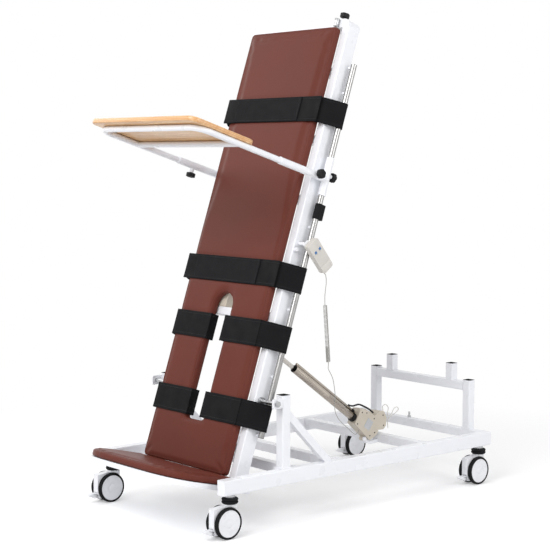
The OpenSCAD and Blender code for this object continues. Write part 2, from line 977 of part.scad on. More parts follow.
// Straps across the chest and the pelvis, with the panel that joins their halves
module straps_long() {
    back_wrap = [for (k = [len(strap_wrap) - 1 : -1 : 0]) [-strap_wrap[k][0], strap_wrap[k][1]]];
    color(black) bed_place()
        for (u = long_strap_places) {
            strap_along(concat(back_wrap, strap_wrap), u);
            translate([-0.42 * pad_w, u + strap_t / 2, strap_lift + strap_t / 2])
                cube([0.75 * pad_w, strap_w - strap_t, panel_t]);
        }
}

// Straps round each leg, at the thigh and at the shin
module straps_leg() {
    path = concat(slit_wrap, strap_wrap);
    color(black) bed_place()
        for (places = leg_strap_places) {
            strap_along(path, places[0]);
            mirror([1, 0, 0])
                strap_along(path, places[1]);
        }
}

control_w = 46;
control_l = 80;
control_h = 56;
control_x = -66;
wing_w = 22;
wing_short = 6;
wing_low = 4;

// Box of the electric control behind the pad, with its lower wing
module control_box() {
    color([0.82, 0.78, 0.7]) bed_place()
        translate([control_x, lift_member_u + bed_member_w / 2, bed_under - control_h]) {
            cube([control_w, control_l, control_h]);
            translate([-wing_w, 0, wing_low])
                cube([wing_w, control_l - wing_short, control_h - wing_low]);
        }
}

socket_x = 240;
socket_r = 11;
socket_bore_r = 6;
socket_l = 34;
knob_v = -64;
knob_r = 20;
knob_h = 16;
knob_screw_r = 4;

// Socket for an accessory post at the head of the bed
module knob_socket() {
    color(steel) bed_place()
        translate([socket_x, head_u + cut_over, bed_under + socket_r])
            rotate([-90, 0, 0])
                difference() {
                    cylinder(h = socket_l, r = socket_r);
                    translate([0, 0, -cut_over])
                        cylinder(h = socket_l + 2 * cut_over, r = socket_bore_r);
                }
}

// Star knob on the head bar
module socket_knob() {
    color(black) bed_place()
        translate([socket_x, head_u + head_round + knob_h, knob_v])
            rotate([-90, 0, 0])
                star_knob(knob_r, knob_h, knob_screw_r, knob_h + 3 * tube_wall);
}

stop_from = 1096;
stop_l = 65;

// Rubber stop on the rear of the near chrome tube
module tube_stop() {
    color(black) bed_place()
        translate([chrome_x, stop_from, chrome_v])
            rotate([-90, 0, 0])
                linear_extrude(stop_l)
                    difference() {
                        union() {
                            circle(chrome_r + panel_t);
                            translate([-chrome_r, 0])
                                square([2 * chrome_r, 2.1 * chrome_r]);
                        }
                        circle(chrome_r + seat_gap);
                    }
}

handset_u = 953.5;
handset_v = -134;
handset_x = 353;
handset_turn = 56.8;
handset_edge = 4;
button_w = 11;
button_h = 5;
button_travel = 1;
button_along = 27.5;
button_across = 13.7;
gland_l = 7;
gland_across = 20;
case_wall = 3;

// Places a piece of the handset, drawn with its length along x and its face towards z
module handset_place() {
    bed_place()
        translate([handset_x, handset_u, handset_v])
            rotate([90, 0, 90])
                rotate([0, 0, handset_turn])
                    children();
}

// Case of the handset, with two pockets for the buttons and a gland for the cord
module handset_case() {
    pocket = button_w + 4 * seat_gap;
    pocket_floor = handset_t - button_h + button_travel + seat_gap;
    color([0.75, 0.72, 0.68]) handset_place()
        difference() {
            union() {
                translate([0, 0, handset_t])
                    soft_slab(
                        handset_l, handset_w, 3 * handset_edge, handset_t, handset_edge, cut_over, 0, 3
                    );
                translate([-handset_l / 2 - gland_l, gland_across, handset_t / 2])
                    rotate([0, 90, 0])
                        cylinder(h = 2 * gland_l, r = cord_d);
            }
            for (side = [-1, 1])
                translate([button_along, side * button_across, pocket_floor + handset_t / 2])
                    cube([pocket, pocket, handset_t], center = true);
        }
}

// Blue button in a pocket, which sinks by its travel
module handset_button(side) {
    color([0.25, 0.45, 0.7]) handset_place()
        translate([button_along, side * button_across, handset_t + 2 * button_travel - button_h / 2])
            cube([button_w, button_w, button_h - button_travel], center = true);
}
module handset_button_up() {
    handset_button(1);
}
module handset_button_down() {
    handset_button(-1);
}

peg_r = 8;
peg_u = 953;
peg_v = -52;
hook_r = 7;
hook_u = 982;
hook_v = -66;
hook_plate_u = 973;
hook_plate_v = -82;

// Peg on the side rail and the hook that the handset hangs on
module handset_hook() {
    color(white) bed_place() {
        translate([0, peg_u, peg_v])
            bar_x(side_out, side_out + 2 * peg_r, peg_r);
        translate([0, hook_u, hook_v])
            bar_x(side_out, handset_x - case_wall, hook_r);
        translate([handset_x - case_wall / 2, hook_plate_u, hook_plate_v])
            rotate([90, 0, 90])
                rotate([0, 0, handset_turn])
                    linear_extrude(case_wall, center = true)
                        polygon(rounded_points(8 * hook_r, 4.4 * hook_r, hook_r));
    }
}

// Place of a point of the bed in the base's own places
function bed_point(x, u, v) = [
    x,
    -pivot_front + (u - pivot_u) * cos(tilt) - (v - pivot_v) * sin(tilt),
    pivot_z + (u - pivot_u) * sin(tilt) + (v - pivot_v) * cos(tilt)
];
// Place of a point of the handset's lower end, on its middle layer
function handset_point(down) =
    let (along = -handset_l / 2 - down)
        bed_point(
            handset_x + handset_t / 2,
            handset_u + along * cos(handset_turn) - gland_across * sin(handset_turn),
            handset_v + along * sin(handset_turn) + gland_across * cos(handset_turn)
        );
// Place of a point of the actuator's gland
gland_f = 50;
gland_g = 14;
gland_x = 10;
function gland_point(down) = [
    lift_x + gland_x,
    lift_back - gland_f * cos(lift_rise) + (gland_g - down) * sin(lift_rise),
    lift_z + gland_f * sin(lift_rise) + (gland_g - down) * cos(lift_rise)
];

cord_sides = 8;
coil_sides = 6;
coil_rings = 8;
coil_top = [handset_x + handset_t / 2, -206, 876];
coil_low = [handset_x + handset_t / 2, -185, 625];
open_share = 0.733;
coil_line = (coil_low - coil_top) / norm(coil_low - coil_top);
coil_side = cross(coil_line, [1, 0, 0]);
upper_route = [
    handset_point(gland_l),
    handset_point(2 * gland_l),
    [coil_top[0], -199, 964],
    [coil_top[0], -206, 912],
    coil_top - coil_line * 2 * cord_d,
    coil_top
];
lower_route = [
    coil_low + coil_line * cord_d,
    coil_low + coil_line * 3 * cord_d,
    [coil_low[0] - 4, -181, 602],
    [342, -147, 573],
    [310, -104, 538],
    [260, -47, 471],
    [220, -11, 426],
    [180, 30, 375],
    [140, 92, 325],
    [118, 170, 272],
    [110, 216, 241],
    gland_point(3 * cord_d),
    gland_point(0)
];

// Straight cord from the handset to the curls
module cord_upper() {
    color([0.7, 0.7, 0.7]) base_place()
        skin(tube_rings(curve_path(upper_route, 5), cord_d / 2, cord_sides));
}

// Straight cord from the curls to the actuator
module cord_lower() {
    color([0.7, 0.7, 0.7]) base_place()
        skin(tube_rings(concat([coil_low], curve_path(lower_route, 6)), cord_d / 2, cord_sides));
}

// Middle line of the curly part, with its straight ends on the line of the whole coil
curls = open_curls + close_curls;
curl_steps = curls * coil_rings;
end_steps = coil_rings / 2;
coil_mid_r = (coil_d - cord_d) / 2;
coil_end = 2 * cord_d;
function coil_height(k) =
    let (turn = k / coil_rings, body = norm(coil_top - coil_low) - 2 * coil_end)
        coil_end + body * (turn < open_curls
            ? open_share * turn / open_curls
            : open_share + (1 - open_share) * (turn - open_curls) / close_curls);
function coil_reach(k) = coil_mid_r * min(1, min(k, curl_steps - k) / end_steps);
coil_path = [
    coil_top,
    coil_top + coil_line * cord_d,
    for (k = [0 : curl_steps])
        coil_top + coil_line * coil_height(k)
            + coil_reach(k) * ([1, 0, 0] * cos(360 * k / coil_rings) + coil_side * sin(360 * k / coil_rings)),
    coil_low - coil_line * cord_d,
    coil_low
];

// Least gap between neighbouring curls
function segment_gap(p, a, b) =
    let (t = max(0, min(1, (p - a) * (b - a) / ((b - a) * (b - a)))))
        norm(p - a - t * (b - a));
echo(least_self_gap = min([
    for (k = [2 : len(coil_path) - 16])
        for (j = [k + coil_rings - 3 : k + coil_rings + 2])
            segment_gap(coil_path[k], coil_path[j], coil_path[j + 1])
]) - cord_d);

// Curly part of the cord
module cord_coil() {
    color([0.7, 0.7, 0.7]) base_place()
        skin(tube_rings(coil_path, cord_d / 2, coil_sides, coil_line, -coil_side));
}

housing_w = 50;
housing_unit = 100;
housing_shares = [
    [-0.23, 0.08], [1.01, 0.21], [1.1, 0.95], [0.83, 1.09], [0.125, 1.12], [0.03, 1.44],
    [-0.26, 1.58], [-0.57, 1.43], [-0.75, 1.1], [-0.7, 0.89], [-0.44, 0.71], [-0.48, 0.56],
    [-0.38, 0.3]
];
tube_from = 90;
slim_r = 7;
slim_x = -7.5;
slim_g = 73;
slim_to = 531;

// Cast housing of the actuator's motor and gears, with the eye of its lower pivot
module lift_housing() {
    color([0.8, 0.76, 0.66]) lift_place()
        difference() {
            union() {
                rotate([0, -90, 0])
                    linear_extrude(housing_w, center = true)
                        polygon(housing_unit * housing_shares);
                bar_x(cut_over - lug_half, lug_half - cut_over, lug_r);
                translate([0, lug_r, 0])
                    cube([2 * (lug_half - cut_over), 2 * lug_r, 1.8 * lug_r], center = true);
                translate([gland_x, gland_g, gland_f])
                    rotate([-90, 0, 0])
                        cylinder(h = gland_l, r = cord_d);
            }
            bar_x(-housing_w, housing_w, lug_pin_r + run_gap);
            for (side = [-1, 1])
                translate([side * (lug_half + lug_t / 2), 0, 0])
                    bar_x(-lug_t / 2 - cut_over, lug_t / 2 + cut_over, lug_r + cut_over);
            translate([0, lift_offset, tube_from])
                cylinder(h = housing_unit, r = lift_tube_r + run_gap);
            translate([slim_x, slim_g, tube_from])
                cylinder(h = housing_unit, r = slim_r + run_gap);
        }
}

rod_l = 430;
bush_l = 30;
ring_from = 303;
ring_t = 3;

// Outer tube of the actuator with its bush, and the slim tube above it
module lift_tubes() {
    color(steel) lift_place() {
        translate([0, lift_offset, 0])
            difference() {
                union() {
                    translate([0, 0, tube_from])
                        cylinder(h = lift_mouth - tube_from, r = lift_tube_r);
                    translate([0, 0, ring_from])
                        cylinder(h = ring_t, r = lift_tube_r + cut_over / 2);
                }
                translate([0, 0, tube_from + bush_l])
                    cylinder(h = lift_mouth - tube_from - 2 * bush_l, r = lift_tube_r - ring_t);
                translate([0, 0, lift_mouth - bush_l - cut_over])
                    cylinder(h = 2 * bush_l, r = rod_r + run_gap);
            }
        translate([slim_x, slim_g, tube_from]) {
            cylinder(h = slim_to - tube_from, r = slim_r);
            translate([0, 0, slim_to - tube_from])
                sphere(slim_r);
        }
    }
}

label_t = 1;
label_g = 62;
label_f = 26;
label_w = 40;
label_h = 46;
screw_head_r = 3;
screw_spots = [[88, 30], [92, 86], [66, 98], [-12, 24], [-30, 50], [-60, 104], [-30, 140], [10, 100]];

// Bare label plate and the screws on the near side of the housing
module lift_trim() {
    color([0.8, 0.84, 0.88]) lift_place()
        translate([housing_w / 2, 0, 0]) {
            translate([0, label_g, label_f])
                rotate([0, 90, 0])
                    linear_extrude(label_t)
                        polygon(rounded_points(label_w, label_h, 2 * label_t));
            for (spot = screw_spots)
                translate([0, spot[1], spot[0]])
                    bar_x(0, 2 * label_t, screw_head_r);
        }
}

bundle_r = 4;
loop_r = 1.75;
bundle_route = [
    [slim_x, slim_g + slim_r + bundle_r + soft_gap, 158],
    [slim_x, slim_g + slim_r + bundle_r + soft_gap, 150],
    [-6, 94, 130],
    [-4, 115, 106],
    [-2, 124, 70],
    [0, 128, 40],
    [0, 128, 20],
    [0, 128, 9.5]
];
loop_route = [
    [12, 157.5, -30],
    [12, 164, -28],
    [12, 176, -16],
    [13, 192, -26],
    [14, 190, -48],
    [16, 168, -58],
    [20, 155, -64],
    [22, 172, -76],
    [22, 200, -76],
    [20, 217, -92],
    [16, 212, -110],
    [14, 185, -100],
    [14, 150, -80],
    [14, 132, -86],
    [14, 112, -104]
];

// Bundle of black leads on the housing and the spare lead tied in two loops
module lift_cables() {
    color(black) lift_place() {
        skin(tube_rings(curve_path(bundle_route, 3), bundle_r, cord_sides));
        skin(tube_rings(curve_path(loop_route, 3), loop_r, coil_sides));
    }
}

eye_r = 13;
eye_w = 36;
eye_pin_r = 7;

// Rod of the actuator with its eye
module lift_rod() {
    color(steel) lift_place()
        translate([0, lift_offset, eye_reach]) {
            translate([0, 0, -rod_l])
                cylinder(h = rod_l, r = rod_r);
            bar_x(-eye_w / 2, eye_w / 2, eye_r);
            bar_x(-eye_w / 2 - cut_over, eye_w / 2 + cut_over, eye_pin_r);
        }
}

// Places a piece of the tray, drawn level with its front towards -y from the line of its arms
module tray_lean() {
    translate([0, tray_u, 0])
        rotate([tray_droop - 90, 0, 0])
            children();
}
module tray_place() {
    bed_place()
        tray_lean()
            children();
}

sleeve_r = 16.5;
sleeve_from = 1197;
sleeve_to = 1359;
arm_back = -chrome_v;
arm_front = -165;
arm_bore_back = 74;
clamp_r = 9;
knob_stand = 10;
sleeve_knob_u = 1284;
sleeve_knob_v = chrome_v - sleeve_r - knob_stand;
arm_knob_y = 39;
arm_knob_z = 5;
arm_knob_x = chrome_x + arm_r + 8;
far_knob_y = -81;
far_knob_z = -35;
far_knob_turn = 30;

// Sleeves on the chrome tubes with the tray's arms and the bosses of their knobs
module tray_arms() {
    color(white) bed_place()
        difference() {
            union() {
                both_sides() {
                    translate([chrome_x, sleeve_from, chrome_v])
                        rotate([-90, 0, 0])
                            cylinder(h = sleeve_to - sleeve_from, r = sleeve_r);
                    translate([chrome_x, sleeve_knob_u, sleeve_knob_v + cut_over])
                        cylinder(h = sleeve_r, r = clamp_r);
                    tray_lean()
                        translate([chrome_x, arm_back, 0])
                            rotate([90, 0, 0])
                                cylinder(h = arm_back - arm_front, r = arm_r);
                }
                tray_lean() {
                    translate([0, arm_knob_y, arm_knob_z])
                        bar_x(chrome_x + arm_r / 2, arm_knob_x - cut_over, clamp_r);
                    translate([-chrome_x, far_knob_y, far_knob_z + cut_over])
                        cylinder(h = -far_knob_z - arm_r / 2, r = clamp_r);
                }
            }
            both_sides() {
                translate([chrome_x, sleeve_from - cut_over, chrome_v])
                    rotate([-90, 0, 0])
                        cylinder(h = sleeve_to - sleeve_from + 2 * cut_over, r = chrome_r + run_gap);
                translate([chrome_x, sleeve_knob_u, sleeve_knob_v])
                    cylinder(h = sleeve_r, r = knob_screw_r + run_gap);
                tray_lean()
                    translate([chrome_x, arm_bore_back, 0])
                        rotate([90, 0, 0])
                            cylinder(h = arm_bore_back - arm_front + cut_over, r = inner_tube_r + run_gap);
            }
            tray_lean() {
                translate([0, arm_knob_y, arm_knob_z])
                    bar_x(chrome_x, arm_knob_x, knob_screw_r + run_gap);
                translate([-chrome_x, far_knob_y, far_knob_z])
                    cylinder(h = -far_knob_z, r = knob_screw_r + run_gap);
            }
        }
}

inner_from = -60;
front_tube_y = -590;
rear_tube_y = -382;
tube_bend = 60;
inner_wall = 1.5;

// Outer or inner faces of the tray's bent tube, of radius r
module tray_tubes(r, over) {
    both_sides() {
        translate([chrome_x, inner_from + over, 0])
            rotate([90, 0, 0])
                cylinder(h = inner_from + over - front_tube_y - tube_bend, r = r);
        translate([chrome_x - tube_bend, front_tube_y + tube_bend, 0])
            rotate([0, 0, -90])
                rotate_extrude(angle = 90)
                    translate([tube_bend, 0])
                        circle(r);
    }
    translate([0, front_tube_y, 0])
        bar_x(tube_bend - chrome_x, chrome_x - tube_bend, r);
    translate([0, rear_tube_y, 0])
        bar_x(-chrome_x, chrome_x, r);
}

// Telescoping frame that carries the tray board
module tray_frame() {
    color(white) tray_place()
        difference() {
            tray_tubes(inner_tube_r, 0);
            tray_tubes(inner_tube_r - inner_wall, cut_over);
        }
}

board_from = 310;
board_round = 40;

// Wooden board with rounded corners
module tray_board() {
    color([0.72, 0.55, 0.36]) tray_place()
        translate([0, -board_from - tray_d / 2, inner_tube_r])
            linear_extrude(tray_t)
                polygon(rounded_points(tray_w, tray_d, board_round, 4 * corner_steps));
}

// Star knob that clamps a sleeve, on one side
module sleeve_knob(side) {
    color(black) bed_place()
        translate([side * chrome_x, sleeve_knob_u, sleeve_knob_v])
            rotate([180, 0, 0])
                star_knob(knob_r, knob_h, knob_screw_r, sleeve_r + knob_stand - chrome_r - cut_over);
}
module sleeve_knob_near() {
    sleeve_knob(1);
}
module sleeve_knob_far() {
    sleeve_knob(-1);
}

// Star knob on the outer side of the near arm
module arm_knob_near() {
    color(black) tray_place()
        translate([arm_knob_x, arm_knob_y, arm_knob_z])
            rotate([0, 90, 0])
                star_knob(knob_r, knob_h, knob_screw_r, arm_knob_x - chrome_x - inner_tube_r - seat_gap);
}

// Star knob under the far arm
module arm_knob_far() {
    color(black) tray_place()
        translate([-chrome_x, far_knob_y, far_knob_z])
            rotate([180, 0, far_knob_turn])
                star_knob(knob_r, knob_h, knob_screw_r, -far_knob_z - inner_tube_r - cut_over);
}

base_rails();
base_crossmembers();
uprights();
upright_braces();
tilt_ears();
post_caps();
rear_frame();
lift_bracket();
rear_stud();
caster_stems();
caster_collars();
caster_hood_1();
caster_tyres_1();
caster_discs_1();
caster_pedal_1();
caster_hood_2();
caster_tyres_2();
caster_discs_2();
caster_pedal_2();
caster_hood_3();
caster_tyres_3();
caster_discs_3();
caster_pedal_3();
caster_hood_4();
caster_tyres_4();
caster_discs_4();
caster_pedal_4();
bed_side_rails();
bed_crossmembers();
bed_pad();
tilt_pins();
footplate();
foot_pad();
chrome_tubes();
bed_brackets();
straps_long();
straps_leg();
control_box();
knob_socket();
socket_knob();
tube_stop();
handset_case();
handset_hook();
handset_button_up();
handset_button_down();
cord_upper();
cord_coil();
cord_lower();
lift_housing();
lift_tubes();
lift_trim();
lift_cables();
lift_rod();
tray_arms();
tray_frame();
tray_board();
sleeve_knob_near();
sleeve_knob_far();
arm_knob_near();
arm_knob_far();
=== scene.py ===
import math

import bpy
from mathutils import Matrix, Vector


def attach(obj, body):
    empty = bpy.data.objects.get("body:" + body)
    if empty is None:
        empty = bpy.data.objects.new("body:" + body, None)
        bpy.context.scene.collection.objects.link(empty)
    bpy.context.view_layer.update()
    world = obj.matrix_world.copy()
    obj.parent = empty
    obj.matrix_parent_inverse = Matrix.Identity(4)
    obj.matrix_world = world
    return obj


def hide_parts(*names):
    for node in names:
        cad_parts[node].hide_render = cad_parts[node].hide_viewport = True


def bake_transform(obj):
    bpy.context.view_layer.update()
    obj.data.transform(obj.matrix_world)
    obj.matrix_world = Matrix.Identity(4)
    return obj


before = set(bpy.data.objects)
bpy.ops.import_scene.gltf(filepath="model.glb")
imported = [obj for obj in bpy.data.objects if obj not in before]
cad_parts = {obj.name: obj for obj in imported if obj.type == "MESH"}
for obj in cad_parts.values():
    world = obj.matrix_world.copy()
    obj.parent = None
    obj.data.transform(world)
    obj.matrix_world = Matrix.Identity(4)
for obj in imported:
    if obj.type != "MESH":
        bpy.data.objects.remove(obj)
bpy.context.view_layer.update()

# Camera. A long lens stands before the near front corner, a little above the table's head end,
# and looks slightly down on it, as in the photograph.
EYE = Vector((4.643973, -4.071787, 1.473894))
YAW, PITCH, ROLL = -0.8591573, -0.0824563, 0.0017911
LENS, SENSOR, SIGHT = 93.464, 36.0, 60.0
ahead = Vector((math.sin(YAW) * math.cos(PITCH), math.cos(YAW) * math.cos(PITCH), math.sin(PITCH)))
level = Vector((math.cos(YAW), -math.sin(YAW), 0.0))
above = level.cross(ahead)
right = math.cos(ROLL) * level + math.sin(ROLL) * above
up = math.cos(ROLL) * above - math.sin(ROLL) * level
camera = bpy.data.objects.new("camera", bpy.data.cameras.new("camera"))
bpy.context.collection.objects.link(camera)
camera.matrix_world = Matrix.Translation(EYE) @ Matrix((right, up, -ahead)).transposed().to_4x4()
camera.data.lens = LENS
camera.data.sensor_width = SENSOR
camera.data.clip_end = SIGHT
bpy.context.scene.camera = camera

# Cord of the hand control. A limp 3 mm lead with a light grey PVC sheath, straight out of the
# handset's gland, wound on a mandrel into a curly part that hangs by its own weight, and then in
# one long sag through the base to the gland of the actuator's housing.
MM = 0.001
CORD_D = 3 * MM
CORD_EXIT = (0.366, -0.1133, 0.9979)
COIL_TOP, COIL_LOW = Vector((0.366, -0.1119, 0.876)), Vector((0.366, -0.0909, 0.625))
COIL_R = 7.5 * MM
OPEN_CURLS, CLOSE_CURLS, OPEN_SHARE = 34, 18, 0.733
CURL_POINTS = 16
GLAND = (0.11, 0.3338, 0.2546)


def smooth_route(places, steps):
    """Points of one smooth curve through given points, with as many steps on each stretch."""
    places = [Vector(p) for p in places]
    route = []
    for k in range(len(places) - 1):
        before, here = places[max(k - 1, 0)], places[k]
        there, after = places[k + 1], places[min(k + 2, len(places) - 1)]
        for i in range(steps):
            t = i / steps
            route.append(0.5 * (2 * here + (there - before) * t
                                + (2 * before - 5 * here + 4 * there - after) * t * t
                                + (3 * here - before - 3 * there + after) * t ** 3))
    return route + [places[-1]]


def route_length(route):
    """Length of a route through its points."""
    return sum((b - a).length for a, b in zip(route, route[1:]))


def deselect_all():
    """Leaves nothing selected, so that an operator only acts on what is picked next."""
    bpy.ops.object.select_all(action="DESELECT")


def linked(name, data):
    """A new object in the scene, selected and active, with nothing else selected."""
    piece = bpy.data.objects.new(name, data)
    bpy.context.collection.objects.link(piece)
    deselect_all()
    piece.select_set(True)
    bpy.context.view_layer.objects.active = piece
    return piece


def drawn_line(name, route):
    """A curve of straight runs through a route."""
    curve = bpy.data.curves.new(name, "CURVE")
    curve.dimensions = "3D"
    spline = curve.splines.new("POLY")
    spline.points.add(len(route) - 1)
    for point, place in zip(spline.points, route):
        point.co = (*place, 1.0)
    return curve


def round_lead(name, route, diameter, sides=2, ripple=(1.0,)):
    """A round lead along a route, drawn as a curve and turned into a closed mesh tube. Its
    thickness may ripple from point to point."""
    curve = drawn_line(name, route)
    curve.bevel_depth = diameter / 2
    curve.bevel_resolution = sides
    curve.use_fill_caps = True
    for k, point in enumerate(curve.splines[0].points):
        point.radius = ripple[k % len(ripple)]
    linked(name, curve)
    bpy.ops.object.convert(target="MESH")
    bpy.ops.object.shade_smooth()
    return bpy.context.object


coil_line = (COIL_LOW - COIL_TOP).normalized()
coil_side = coil_line.cross(Vector((1, 0, 0)))
coil_end = 2 * CORD_D
curls = OPEN_CURLS + CLOSE_CURLS
coil_body = (COIL_LOW - COIL_TOP).length - 2 * coil_end
coil_route = []
for k in range(curls * CURL_POINTS + 1):
    turn = k / CURL_POINTS
    if turn < OPEN_CURLS:
        drop = OPEN_SHARE * turn / OPEN_CURLS
    else:
        drop = OPEN_SHARE + (1 - OPEN_SHARE) * (turn - OPEN_CURLS) / CLOSE_CURLS
    reach = COIL_R * min(1, 2 * min(turn, curls - turn))
    angle = 2 * math.pi * turn
    coil_route.append(COIL_TOP + coil_line * (coil_end + coil_body * drop)
                      + reach * (Vector((1, 0, 0)) * math.cos(angle) + coil_side * math.sin(angle)))
cord_route = smooth_route([
    CORD_EXIT, (0.366, -0.109, 0.9924), (0.366, -0.1049, 0.964), (0.366, -0.1119, 0.912),
    (0.366, -0.1124, 0.882), COIL_TOP,
], 5)
cord_route += [COIL_TOP + coil_line * CORD_D] + coil_route + [COIL_LOW - coil_line * CORD_D]
cord_route += smooth_route([
    COIL_LOW, (0.366, -0.0904, 0.619), (0.362, -0.0869, 0.602), (0.342, -0.0529, 0.573),
    (0.31, -0.0099, 0.538), (0.26, 0.0471, 0.471), (0.22, 0.0831, 0.426), (0.18, 0.1241, 0.375),
    (0.14, 0.1861, 0.325), (0.118, 0.2641, 0.272), (0.11, 0.3101, 0.241), (0.11, 0.3285, 0.2473),
    GLAND,
], 6)
hand_cord = round_lead("hand_control_cord", cord_route, CORD_D)


def linear(code):
    """Linear colour of an sRGB hex value."""
    shares = [int(code[k:k + 2], 16) / 255 for k in (1, 3, 5)]
    return (*(s / 12.92 if s <= 0.04045 else ((s + 0.055) / 1.055) ** 2.4 for s in shares), 1.0)


def add(tree, kind, links=None, **settings):
    """Adds a node with its settings. Each link is another node's socket or a value of its own."""
    node = tree.nodes.new("ShaderNode" + kind)
    for name, value in settings.items():
        setattr(node, name, value)
    for name, value in (links or {}).items():
        if isinstance(value, bpy.types.NodeSocket):
            tree.links.new(value, node.inputs[name])
        else:
            node.inputs[name].default_value = value
    return node


def surface(name, dark, light, rough, grain_mm, relief_mm, patch_mm=90.0, spread=0.1, **shader):
    """A finish on Object coordinates: slow patches between two close tones, a grain that lifts the
    surface by its relief, and a gloss that wavers with both. Returns the material, its tree, its
    shader and the vector that its patterns read."""
    material = bpy.data.materials.new(name)
    material.use_nodes = True
    tree = material.node_tree
    glossy = tree.nodes["Principled BSDF"]
    for socket, value in shader.items():
        glossy.inputs[socket.replace("_", " ")].default_value = value
    where = add(tree, "TexCoord").outputs["Object"]
    patches = add(tree, "TexNoise", {"Vector": where, "Scale": 1000 / patch_mm, "Detail": 4.0})
    grain = add(tree, "TexNoise", {"Vector": where, "Scale": 1000 / grain_mm, "Detail": 2.0})
    tone = add(tree, "Mix", {0: patches.outputs["Fac"], 6: linear(dark), 7: linear(light)},
               data_type="RGBA")
    gloss = add(tree, "MapRange", {
        "Value": patches.outputs["Fac"], "From Min": 0.3, "From Max": 0.7,
        "To Min": max(rough - spread, 0.02), "To Max": min(rough + spread, 1.0)})
    bump = add(tree, "Bump", {"Height": grain.outputs["Fac"], "Distance": relief_mm * MM,
                              "Strength": 1.0})
    tree.links.new(tone.outputs[2], glossy.inputs["Base Color"])
    tree.links.new(gloss.outputs["Result"], glossy.inputs["Roughness"])
    tree.links.new(bump.outputs["Normal"], glossy.inputs["Normal"])
    return material, tree, glossy, where


# Soft PVC sheath, extruded over the wires: satin, with faint handling marks. Its grey is darker
# than the pale sheath: painted shade for the shaded edges of the thin lead. Its true grain is
# below a tenth of a millimetre, so it is drawn at 1.5 mm to show.
cord_sheath = surface("extruded_pvc_sheath", "#a19f9b", "#b3b1ad", 0.42, 1.5, 0.03)[0]
hand_cord.data.materials.append(cord_sheath)
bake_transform(hand_cord)
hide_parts("cord_upper", "cord_coil", "cord_lower")

# Leads on the actuator. A bundle of black leads runs in one round sleeve from the slim tube over
# the housing to the motor's end. The spare white mains lead is tied there in two upright loops,
# and its end goes back into the motor's underside.
BUNDLE_D, SPARE_D = 8 * MM, 3.5 * MM
bundle_route = smooth_route([
    (0.0925, 0.2873, 0.3748), (0.0925, 0.2938, 0.3701), (0.094, 0.3157, 0.3663),
    (0.096, 0.3475, 0.3693), (0.098, 0.3819, 0.3555), (0.1, 0.4086, 0.3412),
    (0.1, 0.4248, 0.3295), (0.1, 0.4333, 0.3234),
], 5)
spare_route = smooth_route([
    (0.112, 0.4826, 0.3242), (0.112, 0.4848, 0.3306), (0.112, 0.4821, 0.3474),
    (0.113, 0.4996, 0.3545), (0.114, 0.5162, 0.34), (0.116, 0.5115, 0.3163),
    (0.12, 0.5087, 0.3022), (0.122, 0.5284, 0.309), (0.122, 0.5448, 0.3317),
    (0.12, 0.5677, 0.3361), (0.116, 0.5794, 0.3215), (0.114, 0.5555, 0.3055),
    (0.114, 0.5188, 0.2888), (0.114, 0.5131, 0.2707), (0.114, 0.516, 0.244),
], 5)
# Woven sleeve over the leads: dull black with a fine mesh, drawn at 2 mm.
sleeve_cloth = surface("braided_lead_sleeve", "#161618", "#232326", 0.7, 2.0, 0.12)[0]
# White mains lead: smoother and a little brighter than the hand control's sheath.
spare_sheath = surface("white_mains_sheath", "#cfcdc8", "#dedcd8", 0.38, 1.5, 0.03)[0]
for name, route, thick, cover, node_slot in (
        ("lead_bundle", bundle_route, BUNDLE_D, sleeve_cloth, "dark_plastic"),
        ("spare_mains_lead", spare_route, SPARE_D, spare_sheath, "grey_plastic")):
    lead = round_lead(name, route, thick, 3)
    lead.data.materials.append(cover)
    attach(lead, "actuator")
    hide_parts("lift_cables")

# Welded frames. Square and rectangular mild steel tube of the base, the uprights, the rear rest and
# the bed, with flat lugs and the pan of the footplate, cut, welded and powder coated in one gloss
# white after welding.
EDGE_LIMIT = math.radians(40)
SAME_SPOT = 0.01 * MM


def dress(material, names, radius=0.0):
    """Gives CAD parts their finish. Where they have a radius, modifiers join their faces and round
    their sharp edges, and their own mesh is left alone."""
    for name in names.split():
        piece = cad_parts[name]
        for held in piece.material_slots:
            held.material = material
        if radius:
            piece.modifiers.new("join_faces", "WELD").merge_threshold = SAME_SPOT
            edge = piece.modifiers.new("round_edges", "BEVEL")
            edge.width = radius
            edge.segments = 2
            edge.limit_method = "ANGLE"
            edge.angle_limit = EDGE_LIMIT
            edge.harden_normals = True


# Gloss powder coat on steel: an even cool white, with the slight orange peel of baked powder. The
# peel of about 2.5 mm is true to size, and the tone shifts a little where the coat is thin.
powder_coat = surface("gloss_powder_coat_on_steel", "#eceef3", "#f4f5f9", 0.3, 2.5, 0.02,
                      patch_mm=160, spread=0.06, Coat_Weight=0.25, Coat_Roughness=0.12)[0]
dress(powder_coat, "base_rails base_crossmembers uprights upright_braces rear_frame footplate "
                   "bed_side_rails bed_crossmembers tray_arms tray_frame")
dress(powder_coat, "tilt_ears lift_bracket bed_brackets handset_hook", 0.0008)

# Weld beads. Each joint of the tubes shows a low rippled fillet under the powder: the weld was laid
# by hand, dressed lightly and coated with the frame.


def shift(x, y, z):
    """A move, in metres."""
    return Matrix.Translation((x, y, z))


def rotate(degrees, axis):
    """A turn about an axis through the origin."""
    return Matrix.Rotation(math.radians(degrees), 4, axis)


def joined(name, pieces):
    """Joins pieces into one and names it."""
    deselect_all()
    for piece in pieces:
        piece.select_set(True)
    bpy.context.view_layer.objects.active = pieces[0]
    bpy.ops.object.join()
    pieces[0].name = pieces[0].data.name = name
    return pieces[0]


def settle(piece, place, material, body, slot, *nodes):
    """Puts the place of a finished piece into its mesh, dresses it and lets it ride on its body."""
    piece.data.transform(place)
    piece.data.materials.clear()
    piece.data.materials.append(material)
    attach(piece, body)
    if nodes:
        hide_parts(*nodes)


